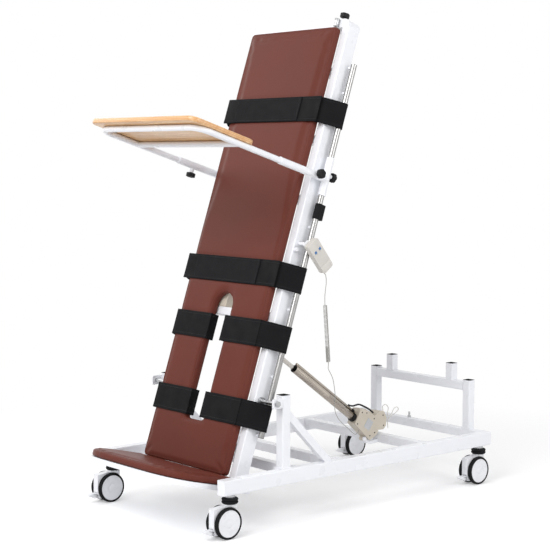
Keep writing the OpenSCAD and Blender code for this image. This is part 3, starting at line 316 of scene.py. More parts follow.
# Places of the base and the bed, and some of their lines, as the CAD source has them.
BASE = shift(0, 0.0941259, 0)
TILT, PIVOT_Y, PIVOT_Z, PIVOT_U, PIVOT_V = 71.44, -0.5015, 0.497, 0.324, -0.0715
BED = BASE @ shift(0, PIVOT_Y, PIVOT_Z) @ rotate(TILT, "X") @ shift(0, -PIVOT_U, -PIVOT_V)
SIDE_OUT, BED_UNDER = 0.309, -0.0393
RAIL_X, RAIL_TOP = 0.3985, 0.228
X, Y, Z = Vector((1, 0, 0)), Vector((0, 1, 0)), Vector((0, 0, 1))
# Sizes of the beads, and of the tubes that they run round.
BEAD_D, RIPPLE = 3.2 * MM, 4 * MM
RIPPLE_LOW, RIPPLE_HIGH = 0.8, 1.15
POST_X, POST_Y, POST_PLATE, POST_TUBE, PLATE_H = 0.388, -0.45, (0.052, 0.060), (0.042, 0.042), 0.005
REST_Y, REST_TUBE, REST_X, STUB_X, BAR_END = 0.758, (0.040, 0.040), 0.300, 0.193, 0.280
BAR_TOP, BAR_MIDDLE = 0.446, 0.426
BRACE_X, BRACE_TUBE, BRACE_FOOT, BRACE_HEAD = 0.3905, (0.030, 0.042), -0.217, (-0.429, 0.212)
BASE_MEMBERS, MEMBER_END, MEMBER_MIDDLE = (-0.3952, -0.1509, 0.373, REST_Y), 0.376, 0.208
BED_MEMBERS = (0.1183, 0.6636, 0.8777, 1.1639, 1.4215, 1.7172)
BED_TUBE, BED_END, BED_DROP = (0.035, 0.039), 0.270, 0.0205


def bead(size, middle, a, b):
    """One rippled weld bead round a tube of a size about a middle, in the plane of a and b."""
    width, height = size
    corners = [Vector(middle) + a * sx * width / 2 + b * sy * height / 2
               for sx, sy in ((1, 1), (-1, 1), (-1, -1), (1, -1), (1, 1))]
    route = []
    for here, there in zip(corners, corners[1:]):
        steps = max(2, round((there - here).length / RIPPLE * 2))
        route += [here.lerp(there, k / steps) for k in range(steps)]
    return round_lead("bead", route + [corners[0]], BEAD_D, 1, (RIPPLE_LOW, RIPPLE_HIGH))


base_beads, bed_beads = [], []
for side in (1, -1):
    base_beads += [
        bead(POST_PLATE, (side * POST_X, POST_Y, RAIL_TOP), X, Y),
        bead(POST_TUBE, (side * POST_X, POST_Y, RAIL_TOP + PLATE_H), X, Y),
        bead(REST_TUBE, (side * REST_X, REST_Y, RAIL_TOP), X, Y),
        bead(REST_TUBE, (side * STUB_X, REST_Y, BAR_TOP), X, Y),
        bead(REST_TUBE, (side * BAR_END, REST_Y, BAR_MIDDLE), Y, Z),
        bead(BRACE_TUBE, (side * BRACE_X, BRACE_FOOT, RAIL_TOP), X, Y),
        bead(BRACE_TUBE, (side * BRACE_X, BRACE_HEAD[0], RAIL_TOP + BRACE_HEAD[1]), X, Z),
    ]
    base_beads += [bead(REST_TUBE, (side * MEMBER_END, y, MEMBER_MIDDLE), Y, Z)
                   for y in BASE_MEMBERS]
    bed_beads += [bead(BED_TUBE, (side * BED_END, u, BED_UNDER - BED_DROP), Y, Z)
                  for u in BED_MEMBERS]
settle(joined("base_weld_beads", base_beads), BASE, powder_coat, "base", "white_paint")
settle(joined("bed_weld_beads", bed_beads), BED, powder_coat, "bed", "white_paint")

# Post caps. Square black plugs with a low four-sided crown, pressed into the posts' open ends.
# Moulded polyethylene: soft matt black, with hardly any shine even at a low angle.
moulded_cap = surface("moulded_matt_polyethylene", "#0f0f11", "#161618", 0.9, 1.2, 0.03,
                      spread=0.06, Specular_IOR_Level=0.03)[0]
# Moulded ABS: deep grey-black with a fine spark-eroded grain, drawn at 0.9 mm.
moulded_abs = surface("moulded_black_abs", "#101012", "#18181a", 0.45, 0.9, 0.03, spread=0.08,
                      Specular_IOR_Level=0.2)[0]
dress(moulded_cap, "post_caps", 0.0006)

# Casters. Twin-wheel casters on steel stems: a white nylon hood swivels on each stem under a black
# rubber collar, and two white discs with black rubber tyres turn on its axle.
# Moulded nylon: clean gloss white, slightly warmer than the powder coat, with a faint flow pattern.
moulded_nylon = surface("moulded_white_nylon", "#e9eaee", "#f2f3f6", 0.32, 1.8, 0.015,
                        patch_mm=45)[0]
# Tyre rubber: dull charcoal, with scuffs that are lighter and rougher where it has rolled.
tyre_rubber = surface("moulded_tyre_rubber", "#101012", "#1a1a1c", 0.68, 1.2, 0.05, patch_mm=30,
                      Specular_IOR_Level=0.15)[0]
# Zinc-plated steel: bright blue-white with a slight cloudiness from the plating bath.
zinc_plate = surface("zinc_plated_steel", "#a3a4a6", "#c6c7c8", 0.3, 3.0, 0.01, patch_mm=25,
                     Metallic=1.0)[0]
dress(zinc_plate, "caster_stems rear_stud tilt_pins knob_socket", 0.0006)
dress(tyre_rubber, "caster_collars tube_stop", 0.0008)
WHEEL_R, WHEEL_W, WHEEL_SPAN, TRAIL = 0.0625, 0.020, 0.074, 0.030
FRONT, REAR = -0.734, 0.718
PLACES = [(RAIL_X, FRONT), (-RAIL_X, FRONT), (RAIL_X, REAR), (-RAIL_X, REAR)]
WHEEL_STEPS = 72


def open_all(kind):
    """Opens the active piece in edit mode with all of it picked."""
    bpy.ops.object.mode_set(mode="EDIT")
    bpy.ops.mesh.select_mode(type=kind)
    bpy.ops.mesh.select_all(action="SELECT")


def close_edit():
    """Goes back to object mode."""
    bpy.ops.object.mode_set(mode="OBJECT")


def smoothed(piece, degrees=35):
    """Shades a piece smooth, and keeps the edges sharp that turn by more than some degrees."""
    deselect_all()
    piece.select_set(True)
    bpy.context.view_layer.objects.active = piece
    bpy.ops.object.shade_smooth_by_angle(angle=math.radians(degrees))


def turned(name, profile, steps, closed=True):
    """A round piece: a profile of radius and height spun about z."""
    ends = len(profile) if closed else len(profile) - 1
    line = bpy.data.meshes.new(name)
    line.from_pydata([(r, 0, z) for r, z in profile],
                     [(k, (k + 1) % len(profile)) for k in range(ends)], [])
    piece = linked(name, line)
    open_all("VERT")
    bpy.ops.mesh.spin(steps=steps, angle=2 * math.pi, center=(0, 0, 0), axis=(0, 0, 1))
    bpy.ops.mesh.select_all(action="SELECT")
    bpy.ops.mesh.remove_doubles(threshold=SAME_SPOT / 2)
    bpy.ops.mesh.normals_make_consistent(inside=False)
    close_edit()
    smoothed(piece)
    return piece


def copied(piece, place):
    """A copy of a piece with its own mesh, moved by a place."""
    twin = piece.copy()
    twin.data = piece.data.copy()
    bpy.context.collection.objects.link(twin)
    twin.data.transform(place)
    return twin


# Profile of one wheel's tyre: a flat tread with two shallow grooves and round shoulders.
tread = [(0.0542, -0.0098), (0.0575, -0.0100), (0.0606, -0.0090), (0.0622, -0.0066),
         (0.0625, -0.0040), (0.0617, -0.0034), (0.0617, -0.0024), (0.0625, -0.0018)]
tread += [(radius, -across) for radius, across in reversed(tread)]
# Profile of one disc: a slightly domed cover with a rolled rim and a shallow ring round the middle.
disc = [(0.0, -0.0095), (0.0535, -0.0095), (0.0538, 0.0072), (0.0530, 0.0082), (0.0514, 0.0086),
        (0.0500, 0.0080), (0.0490, 0.0080), (0.0300, 0.0088), (0.0180, 0.0090), (0.0170, 0.0085),
        (0.0158, 0.0085), (0.0148, 0.0090), (0.0, 0.0092)]
wheel_tyre = turned("tyre", tread, WHEEL_STEPS)
wheel_disc = turned("disc", disc, WHEEL_STEPS, closed=False)
for k, (x, y) in enumerate(PLACES, 1):
    axle = BASE @ shift(x, y - TRAIL, WHEEL_R)
    sides = [axle @ shift(s * (WHEEL_SPAN - WHEEL_W) / 2, 0, 0) @ rotate(s * 90, "Y")
             for s in (1, -1)]
    tyres = joined(f"caster_{k}_tyres", [copied(wheel_tyre, side) for side in sides])
    discs = joined(f"caster_{k}_discs", [copied(wheel_disc, side) for side in sides])
    settle(tyres, Matrix(), tyre_rubber, f"wheels_{k}", "tyre_rubber", f"caster_tyres_{k}")
    settle(discs, Matrix(), moulded_nylon, f"wheels_{k}", "white_plastic", f"caster_discs_{k}")
    dress(moulded_nylon, f"caster_hood_{k} caster_pedal_{k}", 0.0014)
bpy.data.objects.remove(wheel_tyre)
bpy.data.objects.remove(wheel_disc)

# Bed pad. Firm foam on a board, covered in dark reddish-brown leatherette: a long flat cushion with
# crowned edges, a boxed side band sewn to the top panel, and a slit between the legs that is
# rounded at its head end.
PAD_W, PAD_LEN, PAD_T, PAD_FOOT, PAD_ROUND = 0.556, 1.908, 0.039, 0.004, 0.016
SLIT_HALF, SLIT_FROM, SLIT_TO, SLIT_ROUND = 0.0565, 0.196, 0.734, 0.008
FOAM_SHRINK, FOAM_ROUND, BOARD_GAP, CROWN = 0.003, 0.006, 0.0006, 0.0008
SWELL, FIRM, GLUED, PRESSURE, CLOTH_FRAMES = 0.005, 0.001, 0.014, 4.0, 20
LONG_STRAPS, LEG_STRAPS, STRAP_W = (0.780, 1.485), ((0.531, 0.531), (0.205, 0.206)), 0.109
DENT, DENT_REACH = 0.0016, 0.018
SEAM_IN, STITCH_IN, SEAM_STEP, PROBE_FROM = 0.011, 0.0155, 0.02, 0.05
PIPING_D, PIPING_SINK = 0.0026, 0.0004


def rounded_corners(corners, steps):
    """Outline through corners of (x, y, radius), each turned by a quarter circle."""
    line = []
    for k, (x, y, r) in enumerate(corners):
        before, after = Vector(corners[k - 1][:2]), Vector(corners[(k + 1) % len(corners)][:2])
        here = Vector((x, y))
        a, b = (before - here).normalized(), (after - here).normalized()
        middle = here + (a + b) * r
        for i in range(steps + 1):
            t = math.pi / 2 * i / steps
            line.append(middle - b * r * math.cos(t) - a * r * math.sin(t))
    return line


def shaped(piece, kind, **settings):
    """Adds a modifier with its settings and applies it."""
    modifier = piece.modifiers.new(kind.lower(), kind)
    for name, value in settings.items():
        setattr(modifier, name, value)
    bpy.context.view_layer.objects.active = piece
    bpy.ops.object.modifier_apply(modifier=modifier.name)


def eased(piece, width, segments=2, degrees=30):
    """Rounds the edges of a piece that turn by more than some degrees."""
    shaped(piece, "BEVEL", width=width, segments=segments, limit_method="ANGLE",
           angle_limit=math.radians(degrees))


def foam(name, outlines, low, high):
    """A closed slab with rounded edges, filled between outlines and drawn up from low to high."""
    mesh = bpy.data.meshes.new(name)
    corners, edges = [], []
    for outline in outlines:
        first = len(corners)
        corners += [(place[0], place[1], low) for place in outline]
        edges += [(first + k, first + (k + 1) % len(outline)) for k in range(len(outline))]
    mesh.from_pydata(corners, edges, [])
    slab = linked(name, mesh)
    open_all("EDGE")
    bpy.ops.mesh.remove_doubles(threshold=SAME_SPOT * 2)
    bpy.ops.mesh.fill(use_beauty=True)
    bpy.ops.mesh.select_all(action="SELECT")
    bpy.ops.mesh.extrude_region_move(TRANSFORM_OT_translate={"value": (0, 0, high - low)})
    bpy.ops.mesh.select_all(action="SELECT")
    bpy.ops.mesh.normals_make_consistent(inside=False)
    close_edit()
    eased(slab, FOAM_ROUND, 3, 55)
    return slab


def swollen(piece, voxel, low, high, dent):
    """Blows a pad up inside its cover with a short cloth run. The foam is firm: its top rises by no
    more than the swell, its sides hardly move, and it gives where something lies on it."""
    shaped(piece, "REMESH", mode="VOXEL", voxel_size=voxel)
    before = [corner.co.copy() for corner in piece.data.vertices]
    base = piece.vertex_groups.new(name="glued_base")
    base.add([c.index for c in piece.data.vertices if c.co.z < low + GLUED], 1.0, "REPLACE")
    cloth = piece.modifiers.new("cover", "CLOTH")
    cloth.settings.use_pressure = True
    cloth.settings.uniform_pressure_force = PRESSURE
    cloth.settings.effector_weights.gravity = 0.0
    cloth.settings.quality = 4
    cloth.settings.vertex_group_mass = "glued_base"
    cloth.point_cache.frame_start, cloth.point_cache.frame_end = 1, CLOTH_FRAMES
    for number in range(1, CLOTH_FRAMES + 1):
        bpy.context.scene.frame_set(number)
    bpy.context.view_layer.objects.active = piece
    bpy.ops.object.modifier_apply(modifier="cover")
    bpy.context.scene.frame_set(1)
    middle = (low + high) / 2
    for corner, old in zip(piece.data.vertices, before):
        swell = corner.co - old
        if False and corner.co.z > middle:
            swell = Vector((0, 0, SWELL))
        corner.co = old + Vector((min(max(swell.x, -FIRM), FIRM), min(max(swell.y, -FIRM), FIRM),
                                  min(max(swell.z, -FIRM), SWELL)))
        if corner.co.z > middle:
            corner.co.z = min(corner.co.z, high) - dent(corner.co.x, corner.co.y)
        corner.co.z = max(corner.co.z, low)
    shaped(piece, "SMOOTH", factor=0.5, iterations=2)
    shaped(piece, "SUBSURF", levels=1, render_levels=1)
    piece.vertex_groups.clear()
    deselect_all()
    piece.select_set(True)
    bpy.ops.object.shade_smooth()


def pad_outline(inset):
    """Outline of the bed pad, drawn in by an inset."""
    half, near, far = PAD_W / 2 - inset, inset - PAD_FOOT, PAD_LEN + 0.0003 - inset
    return rounded_corners([(x, y, PAD_ROUND) for x, y in (
        (half, near), (half, far), (-half, far), (-half, near))], 6)


def slit_outline(out):
    """Outline of the slit between the legs, let out by a margin."""
    half, near, far = SLIT_HALF + out, SLIT_FROM - out, SLIT_TO + out
    return rounded_corners([(half, near, SLIT_ROUND + out), (half, far, half),
                            (-half, far, half), (-half, near, SLIT_ROUND + out)], 10)


def strap_dent(x, u):
    """How far the straps press into the bed pad at a place."""
    starts = [*LONG_STRAPS, *(pair[0 if x > 0 else 1] for pair in LEG_STRAPS)]
    gap = min(max(s - u, u - (s + STRAP_W), 0.0) for s in starts)
    return DENT * (1 - min(gap / DENT_REACH, 1.0)) ** 2


def on_top(piece, outline, sink):
    """A closed route along an outline on the top of a piece, sunk a little into it."""
    route = []
    for a, b in zip(outline, outline[1:] + outline[:1]):
        steps = max(1, math.ceil((b - a).length / SEAM_STEP))
        for k in range(steps):
            spot = a.lerp(b, k / steps)
            hit, place, _, _ = piece.ray_cast((spot.x, spot.y, PROBE_FROM), -Z)
            route.append(Vector((spot.x, spot.y, (place.z if hit else 0.0) - sink)))
    return route + [route[0]]


def start(kind, name, **settings):
    """Adds a primitive with nothing else selected and names it."""
    deselect_all()
    getattr(bpy.ops.mesh, f"primitive_{kind}_add")(**settings)
    piece = bpy.context.object
    piece.name = piece.data.name = name
    bpy.ops.object.transform_apply(location=True, rotation=True, scale=True)
    return piece


def stitch_row(route, pitch=0.0065, length=0.0044, thread=0.00045):
    """A row of lock stitches along a route: one stitch, repeated and bent along it."""
    line = linked("guide", drawn_line("guide", route))
    stitch = start("cylinder", "stitch", vertices=6, radius=thread, depth=length,
                   rotation=(0, math.pi / 2, 0), location=(pitch / 2, 0, 0))
    eased(stitch, thread * 0.5, 1)
    shaped(stitch, "ARRAY", count=int(route_length(route) / pitch), use_relative_offset=False,
           use_constant_offset=True, constant_offset_displace=(pitch, 0, 0))
    shaped(stitch, "CURVE", object=line, deform_axis="POS_X")
    bpy.data.objects.remove(line)
    return stitch


# Vinyl leatherette: dark reddish brown, an embossed leather grain of fine pebbles, and a soft
# gloss. The pebbles are about 1 mm on the real cover and are drawn at 2.4 mm to show.
leatherette, tree, glossy, where = surface(
    "embossed_vinyl_leatherette", "#5f2e25", "#6b382e", 0.42, 6.0, 0.10, patch_mm=240, spread=0.07,
    Specular_IOR_Level=0.11)
pebbles = add(tree, "TexVoronoi", {"Vector": where, "Scale": 1000 / 2.4, "Randomness": 0.9},
              feature="DISTANCE_TO_EDGE")
creases = add(tree, "MapRange", {"Value": pebbles.outputs["Distance"], "From Max": 0.22})


def add_relief(tree, glossy, height, relief_mm):
    """Adds a pattern's relief to the one that a finish has."""
    below = glossy.inputs["Normal"].links[0].from_node
    bump = add(tree, "Bump", {"Height": height, "Distance": relief_mm * MM, "Strength": 1.0,
                              "Normal": below.outputs["Normal"]})
    tree.links.new(bump.outputs["Normal"], glossy.inputs["Normal"])


add_relief(tree, glossy, creases.outputs["Result"], 0.06)
# Bonded polyester thread in the cover's own colour, a shade darker from the tension.
seam_thread = surface("bonded_seam_thread", "#3b1c16", "#4d261f", 0.5, 0.8, 0.03,
                      Specular_IOR_Level=0.2)[0]


def sewn_pad(node, outlines, voxel, thick, low, high, dent, place):
    """A foam pad in its cover, with piping and a row of stitches along each of its outlines."""
    pad = foam(node + "_cover", [outline(FOAM_SHRINK) for outline in outlines],
               -thick + BOARD_GAP, -SWELL)
    swollen(pad, voxel, low, high, dent)
    welts = [round_lead("piping", on_top(pad, outline(SEAM_IN), PIPING_SINK), PIPING_D, 1)
             for outline in outlines]
    thread = [stitch_row(on_top(pad, outline(STITCH_IN), 0.0)) for outline in outlines]
    welts, thread = joined(node + "_piping", welts), joined(node + "_stitching", thread)
    settle(pad, place, leatherette, "bed", "brown_vinyl", node)
    settle(welts, place, leatherette, "bed", "brown_vinyl")
    settle(thread, place, seam_thread, "bed", "brown_vinyl")


sewn_pad("bed_pad", (pad_outline, slit_outline), 0.008, PAD_T, -PAD_T, CROWN, strap_dent, BED)

# Foot pad. The same foam and cover on the white sheet pan of the footplate: a broad round-cornered
# cushion with its seam along the edge, whose back runs under the bed pad between the rails.
FOOT_LEAN = 4.56
FOOT = BED @ rotate(FOOT_LEAN - 90, "X")
FOOT_HALF, FOOT_REACH, FOOT_BACK, FOOT_T = 0.338, 0.288, 0.0391, 0.0355
FOOT_CURVE, FOOT_TONGUE, FOOT_SPARE, RAIL_IN = 4.4, 0.008, 0.0002, 0.277


def foot_outline(inset):
    """Outline of the foot pad, drawn in by an inset: a squarish curve, and a back that reaches on
    between the bed's rails."""
    line = []
    for k in range(37):
        angle = math.pi + math.pi * k / 36
        c, s = math.cos(angle), math.sin(angle)
        line.append(Vector((math.copysign(abs(c) ** (2 / FOOT_CURVE), c) * (FOOT_HALF - inset),
                            -(FOOT_REACH - inset) * abs(s) ** (2 / FOOT_CURVE))))
    wide, narrow, back = FOOT_HALF - inset, RAIL_IN - inset, FOOT_BACK - inset
    return line + [Vector(place) for place in (
        (wide, back), (narrow, back), (narrow, back + FOOT_TONGUE),
        (-narrow, back + FOOT_TONGUE), (-narrow, back), (-wide, back))]


sewn_pad("foot_pad", (foot_outline,), 0.007, FOOT_T, -FOOT_T + FOOT_SPARE, -FOOT_SPARE,
         lambda x, y: 0.0, FOOT)

# Chrome tubes. Polished chrome-plated steel tube at both sides of the bed, which the straps and
# the tray hold, on short welded spacers, with pressed black plugs in the ends.
CHROME_X, CHROME_V, CHROME_R = 0.335, -0.097, 0.0125
CHROME_FROM, CHROME_TO = 0.180, 1.764
# Chrome plate: a cool mirror that is a little soft, with faint cloudy wipe marks. Its tone is set
# well below bright chrome: painted shade for the dark reflections along the tube.
chrome_plate = surface("polished_chrome_plate", "#969594", "#a8a7a6", 0.28, 12.0, 0.004,
                       patch_mm=60, spread=0.03, Metallic=1.0)[0]
dress(chrome_plate, "chrome_tubes")
end_plug = turned("plug", [(0.0, 0.0018), (0.0095, 0.0018), (0.0122, 0.0006), (0.0124, -0.0002),
                           (0.0109, -0.0004), (0.0108, -0.012), (0.0, -0.012)], 32, closed=False)
plugs = []
for side in (1, -1):
    for u, outwards in ((CHROME_FROM, 90), (CHROME_TO, -90)):
        plugs.append(copied(end_plug, shift(side * CHROME_X, u, CHROME_V) @ rotate(outwards, "X")))
settle(joined("chrome_tube_plugs", plugs), BED, moulded_abs, "bed", "dark_plastic")
bpy.data.objects.remove(end_plug)

# Straps. Broad black woven webbing with bound edges, from one chrome tube over the pad to the
# other, or up through the slit and round one leg. The two long ones are joined by a smooth matt
# hook-and-loop panel, stitched round its border.
STRAP_T, GAP = 0.004, 0.0003
STRAP_R, LIFT_V = CHROME_R + GAP + STRAP_T / 2, GAP + STRAP_T / 2
# Middle line of a strap from the pad's top round the near chrome tube, in x and height.
NEAR_WRAP = [
    (0.93 * PAD_W / 2, LIFT_V), (PAD_W / 2 - STRAP_T / 4, LIFT_V - STRAP_T / 4),
    (PAD_W / 2 + STRAP_T, -STRAP_T / 4), (SIDE_OUT + STRAP_T, BED_UNDER + 1.2 * STRAP_T)]
for degrees in range(20, -156, -25):
    angle = math.radians(degrees)
    NEAR_WRAP.append((CHROME_X + STRAP_R * math.cos(angle), CHROME_V + STRAP_R * math.sin(angle)))
# The same for a leg strap's other end, from under the pad up through the slit.
SLIT_WRAP = [
    (SLIT_HALF + 4 * STRAP_T, -PAD_T - 2 * LIFT_V),
    (SLIT_HALF - LIFT_V + STRAP_T / 2, -PAD_T - 2 * LIFT_V),
    (SLIT_HALF - LIFT_V, -PAD_T - LIFT_V / 2), (SLIT_HALF - LIFT_V, -STRAP_T),
    (SLIT_HALF - STRAP_T / 4, LIFT_V - STRAP_T / 4), (SLIT_HALF + STRAP_T, LIFT_V)]
WEB_STEP, WEB_T, BINDING, BINDING_LIFT = 0.005, 0.8 * STRAP_T, 0.008, 1.2


def laid_along(piece, route, u):
    """Bends a flat piece over a route: its x runs along the route, its y goes up the bed."""
    ways = [0.0]
    for a, b in zip(route, route[1:]):
        ways.append(ways[-1] + (b - a).length)
    slopes = [(after - before).normalized()
              for before, after in zip(route[:1] + route[:-1], route[1:] + route[-1:])]
    for corner in piece.data.vertices:
        way = min(max(corner.co.x, 0.0), ways[-1] - 1e-9)
        k = max(i for i in range(len(ways) - 1) if ways[i] <= way)
        t = (way - ways[k]) / (ways[k + 1] - ways[k])
        spot = route[k].lerp(route[k + 1], t)
        slope = slopes[k].lerp(slopes[k + 1], t).normalized()
        height = corner.co.z
        corner.co = (spot.x - slope.y * height, u + corner.co.y, spot.y + slope.x * height)
    return piece


def stretch(x, y, z):
    """A change of size along each axis."""
    return Matrix.Diagonal((x, y, z, 1))


def webbing(length):
    """A flat length of webbing with bound edges, and a map of its length and width in metres."""
    band = start("grid", "webbing", x_subdivisions=round(length / WEB_STEP), y_subdivisions=16,
                 size=1.0)
    band.data.uv_layers[0].name = "cloth"
    for spot in band.data.uv_layers[0].data:
        spot.uv = (spot.uv[0] * length, spot.uv[1] * STRAP_W)
    band.data.transform(shift(length / 2, STRAP_W / 2, 0) @ stretch(length, STRAP_W, 1))
    shaped(band, "SOLIDIFY", thickness=WEB_T, offset=0.0)
    for corner in band.data.vertices:
        if min(corner.co.y, STRAP_W - corner.co.y) < BINDING:
            corner.co.z *= BINDING_LIFT
    eased(band, 0.0006, 2, 50)
    return band


def smooth_flat(places, steps=6):
    """A smooth route through places in x and height."""
    return [Vector((p.x, p.y)) for p in smooth_route([(x, v, 0.0) for x, v in places], steps)]


# Woven polypropylene webbing: near black, with ribs along its length. A rib is about 1.2 mm wide on
# the real strap and is drawn at 2.5 mm, on the strap's own map.
woven_black, tree, glossy, where = surface(
    "woven_polypropylene_webbing", "#0d0d0f", "#161618", 0.72, 1.4, 0.08, patch_mm=50,
    Specular_IOR_Level=0.12)
cloth_map = add(tree, "UVMap", uv_map="cloth").outputs["UV"]


def wave_scale(spacing_mm):
    """Scale of a wave texture whose lines stand a spacing apart."""
    return 1000 / spacing_mm / 3.1416 / 2


warp = add(tree, "TexWave", {"Vector": cloth_map, "Scale": wave_scale(2.5), "Distortion": 0.4},
           bands_direction="Y")
weft = add(tree, "TexWave", {"Vector": cloth_map, "Scale": wave_scale(3.5), "Distortion": 0.6},
           bands_direction="X")
weave = add(tree, "Math", {0: warp.outputs["Fac"], 1: weft.outputs["Fac"]}, operation="MULTIPLY")
add_relief(tree, glossy, weave.outputs["Value"], 0.35)
# Brushed loop panel: matt charcoal, a touch lighter than the webbing, with a short nap of 1.5 mm.
loop_panel = surface("brushed_loop_panel", "#161618", "#202022", 0.85, 1.5, 0.18, patch_mm=35,
                     Specular_IOR_Level=0.12)[0]
# Nylon thread in black, which shines a little more than the webbing round it.
strap_thread = surface("black_nylon_thread", "#1c1c1f", "#2b2b2e", 0.42, 0.7, 0.02,
                       Specular_IOR_Level=0.3)[0]
long_route = smooth_flat([(-x, v) for x, v in reversed(NEAR_WRAP)] + NEAR_WRAP)
leg_route = smooth_flat(SLIT_WRAP + NEAR_WRAP)
STRAP_STITCH = {"pitch": 0.007, "length": 0.0046, "thread": 0.0005}
THREAD_LIFT, SEW_IN, SEW_END = 0.0002, 0.0105, 0.012


def sewn_edges(length):
    """Two rows of stitches along the edges of a flat length, standing on its upper face."""
    top, ends = WEB_T / 2 + THREAD_LIFT, (SEW_END, length - SEW_END)
    return [stitch_row([Vector((x, y, top)) for x in ends], **STRAP_STITCH)
            for y in (SEW_IN, STRAP_W - SEW_IN)]


straps = [("chest_and_hip_strap", long_route, u, False) for u in LONG_STRAPS]
straps += [("leg_strap", leg_route, pair[k], k == 1) for pair in LEG_STRAPS for k in (0, 1)]
threads = []
for number, (name, route, u, mirrored) in enumerate(straps, 1):
    length = route_length(route)
    band = laid_along(webbing(length), route, u)
    rows = [laid_along(row, route, u) for row in sewn_edges(length)]
    if mirrored:
        for part in (band, *rows):
            part.data.transform(stretch(-1, 1, 1))
            part.data.flip_normals()
    threads += rows
    band.name = f"{name}_{number}"
    smoothed(band, 40)
    settle(band, BED, woven_black, "bed", "black_webbing",
           "straps_leg" if name == "leg_strap" else "straps_long")
PANEL_AT, PANEL_LEN, PANEL_W, PANEL_T = -0.02475, 0.75 * PAD_W, STRAP_W - STRAP_T, 0.003
BORDER_FROM, BORDER_TO, BORDER_IN = -0.225, 0.1755, 0.006
panels = []
for u in LONG_STRAPS:
    panel = start("cube", "panel", size=1.0)
    panel.data.transform(shift(PANEL_AT, u + STRAP_W / 2, STRAP_T + GAP + PANEL_T / 2)
                         @ stretch(PANEL_LEN, PANEL_W, PANEL_T))
    eased(panel, 0.0009)
    panels.append(panel)
    top = GAP + STRAP_T + PANEL_T + THREAD_LIFT
    low, high = u + STRAP_T / 2 + BORDER_IN, u + STRAP_W - STRAP_T / 2 - BORDER_IN
    border = [Vector((x, y, top)) for x, y in (
        (BORDER_FROM, low), (BORDER_TO, low), (BORDER_TO, high), (BORDER_FROM, high),
        (BORDER_FROM, low))]
    threads.append(stitch_row(border, **STRAP_STITCH))
settle(joined("strap_joining_panels", panels), BED, loop_panel, "bed", "black_webbing")
settle(joined("strap_stitching", threads), BED, strap_thread, "bed", "black_webbing")

# Star knobs. Black six-lobed grips moulded over a zinc-plated screw: the head bar's accessory
# socket, the tray's two sleeves and its two arms each have one.
KNOB_R, KNOB_H, SCREW_R = 0.020, 0.016, 0.004
LOBES, LOBE_LOW = 6, 0.86
TRAY_U, TRAY_LEAN = 1.266, 1.5
TRAY = BED @ shift(0, TRAY_U, 0) @ rotate(TRAY_LEAN - 90, "X")


def pick(piece, test, kind="FACE"):
    """Opens a piece in edit mode, with the faces whose middle and normal pass the test picked, or
    the edges or corners that pass it by their place."""
    bpy.ops.object.mode_set(mode="EDIT")
    bpy.ops.mesh.select_mode(type=kind)
    bpy.ops.mesh.select_all(action="DESELECT")
    bpy.ops.object.mode_set(mode="OBJECT")
    mesh = piece.data
    if kind == "FACE":
        for face in mesh.polygons:
            face.select = test(face.center, face.normal)
    elif kind == "EDGE":
        for edge in mesh.edges:
            a, b = (mesh.vertices[k].co for k in edge.vertices)
            edge.select = test(a, b)
    else:
        for corner in mesh.vertices:
            corner.select = test(corner.co)
    bpy.ops.object.mode_set(mode="EDIT")


def star_knob(name, place, screw, body, node):
    """One grip with its screw below it."""
    grip = start("cylinder", name, vertices=96, radius=KNOB_R, depth=KNOB_H,
                 location=(0, 0, KNOB_H / 2))
    pick(grip, lambda middle, normal: normal.z > 0.9)
    for step_in, rise in ((0.0022, 0.0016), (0.0085, 0.0006), (0.0012, -0.0022)):
        bpy.ops.mesh.inset(thickness=step_in)
        bpy.ops.transform.translate(value=(0, 0, rise))
    close_edit()
    for corner in grip.data.vertices:
        across = corner.co.xy.length
        if across > KNOB_R * 0.5:
            angle = math.atan2(corner.co.y, corner.co.x)
            share = LOBE_LOW + (1 - LOBE_LOW) * abs(math.cos(LOBES / 2 * angle)) ** 0.6
            corner.co.x *= share
            corner.co.y *= share
    eased(grip, 0.0007, 2, 40)
    shank = turned("shank", [(0.0, 0.001), (SCREW_R, 0.001), (SCREW_R, -screw + 0.0008),
                             (SCREW_R - 0.0008, -screw), (0.0, -screw)], 24, closed=False)
    collar = turned("collar", [(SCREW_R, 0.0002), (0.0095, 0.0002), (0.0088, -0.0035),
                               (SCREW_R, -0.0035)], 32)
    smoothed(grip)
    settle(joined(name + "_screw", [shank]), place, zinc_plate, body, "bright_steel")
    settle(joined(name + "_grip", [grip, collar]), place, moulded_abs, body, "dark_plastic", node)


star_knob("socket_knob", BED @ shift(0.240, 1.967, -0.064) @ rotate(-90, "X"),
          0.0235, "socket_knob_body", "socket_knob")
for side, word in ((1, "near"), (-1, "far")):
    star_knob(f"sleeve_knob_{word}_star",
              BED @ shift(side * CHROME_X, 1.284, -0.1235) @ rotate(180, "X"),
              0.013, f"sleeve_knob_{word}_body", f"sleeve_knob_{word}")
star_knob("arm_knob_near_star", TRAY @ shift(0.3585, 0.039, 0.005) @ rotate(90, "Y"),
          0.0109, "arm_knob_near_body", "arm_knob_near")
star_knob("arm_knob_far_star", TRAY @ shift(-CHROME_X, -0.081, -0.035) @ rotate(180, "X"),
          0.0215, "arm_knob_far_body", "arm_knob_far")

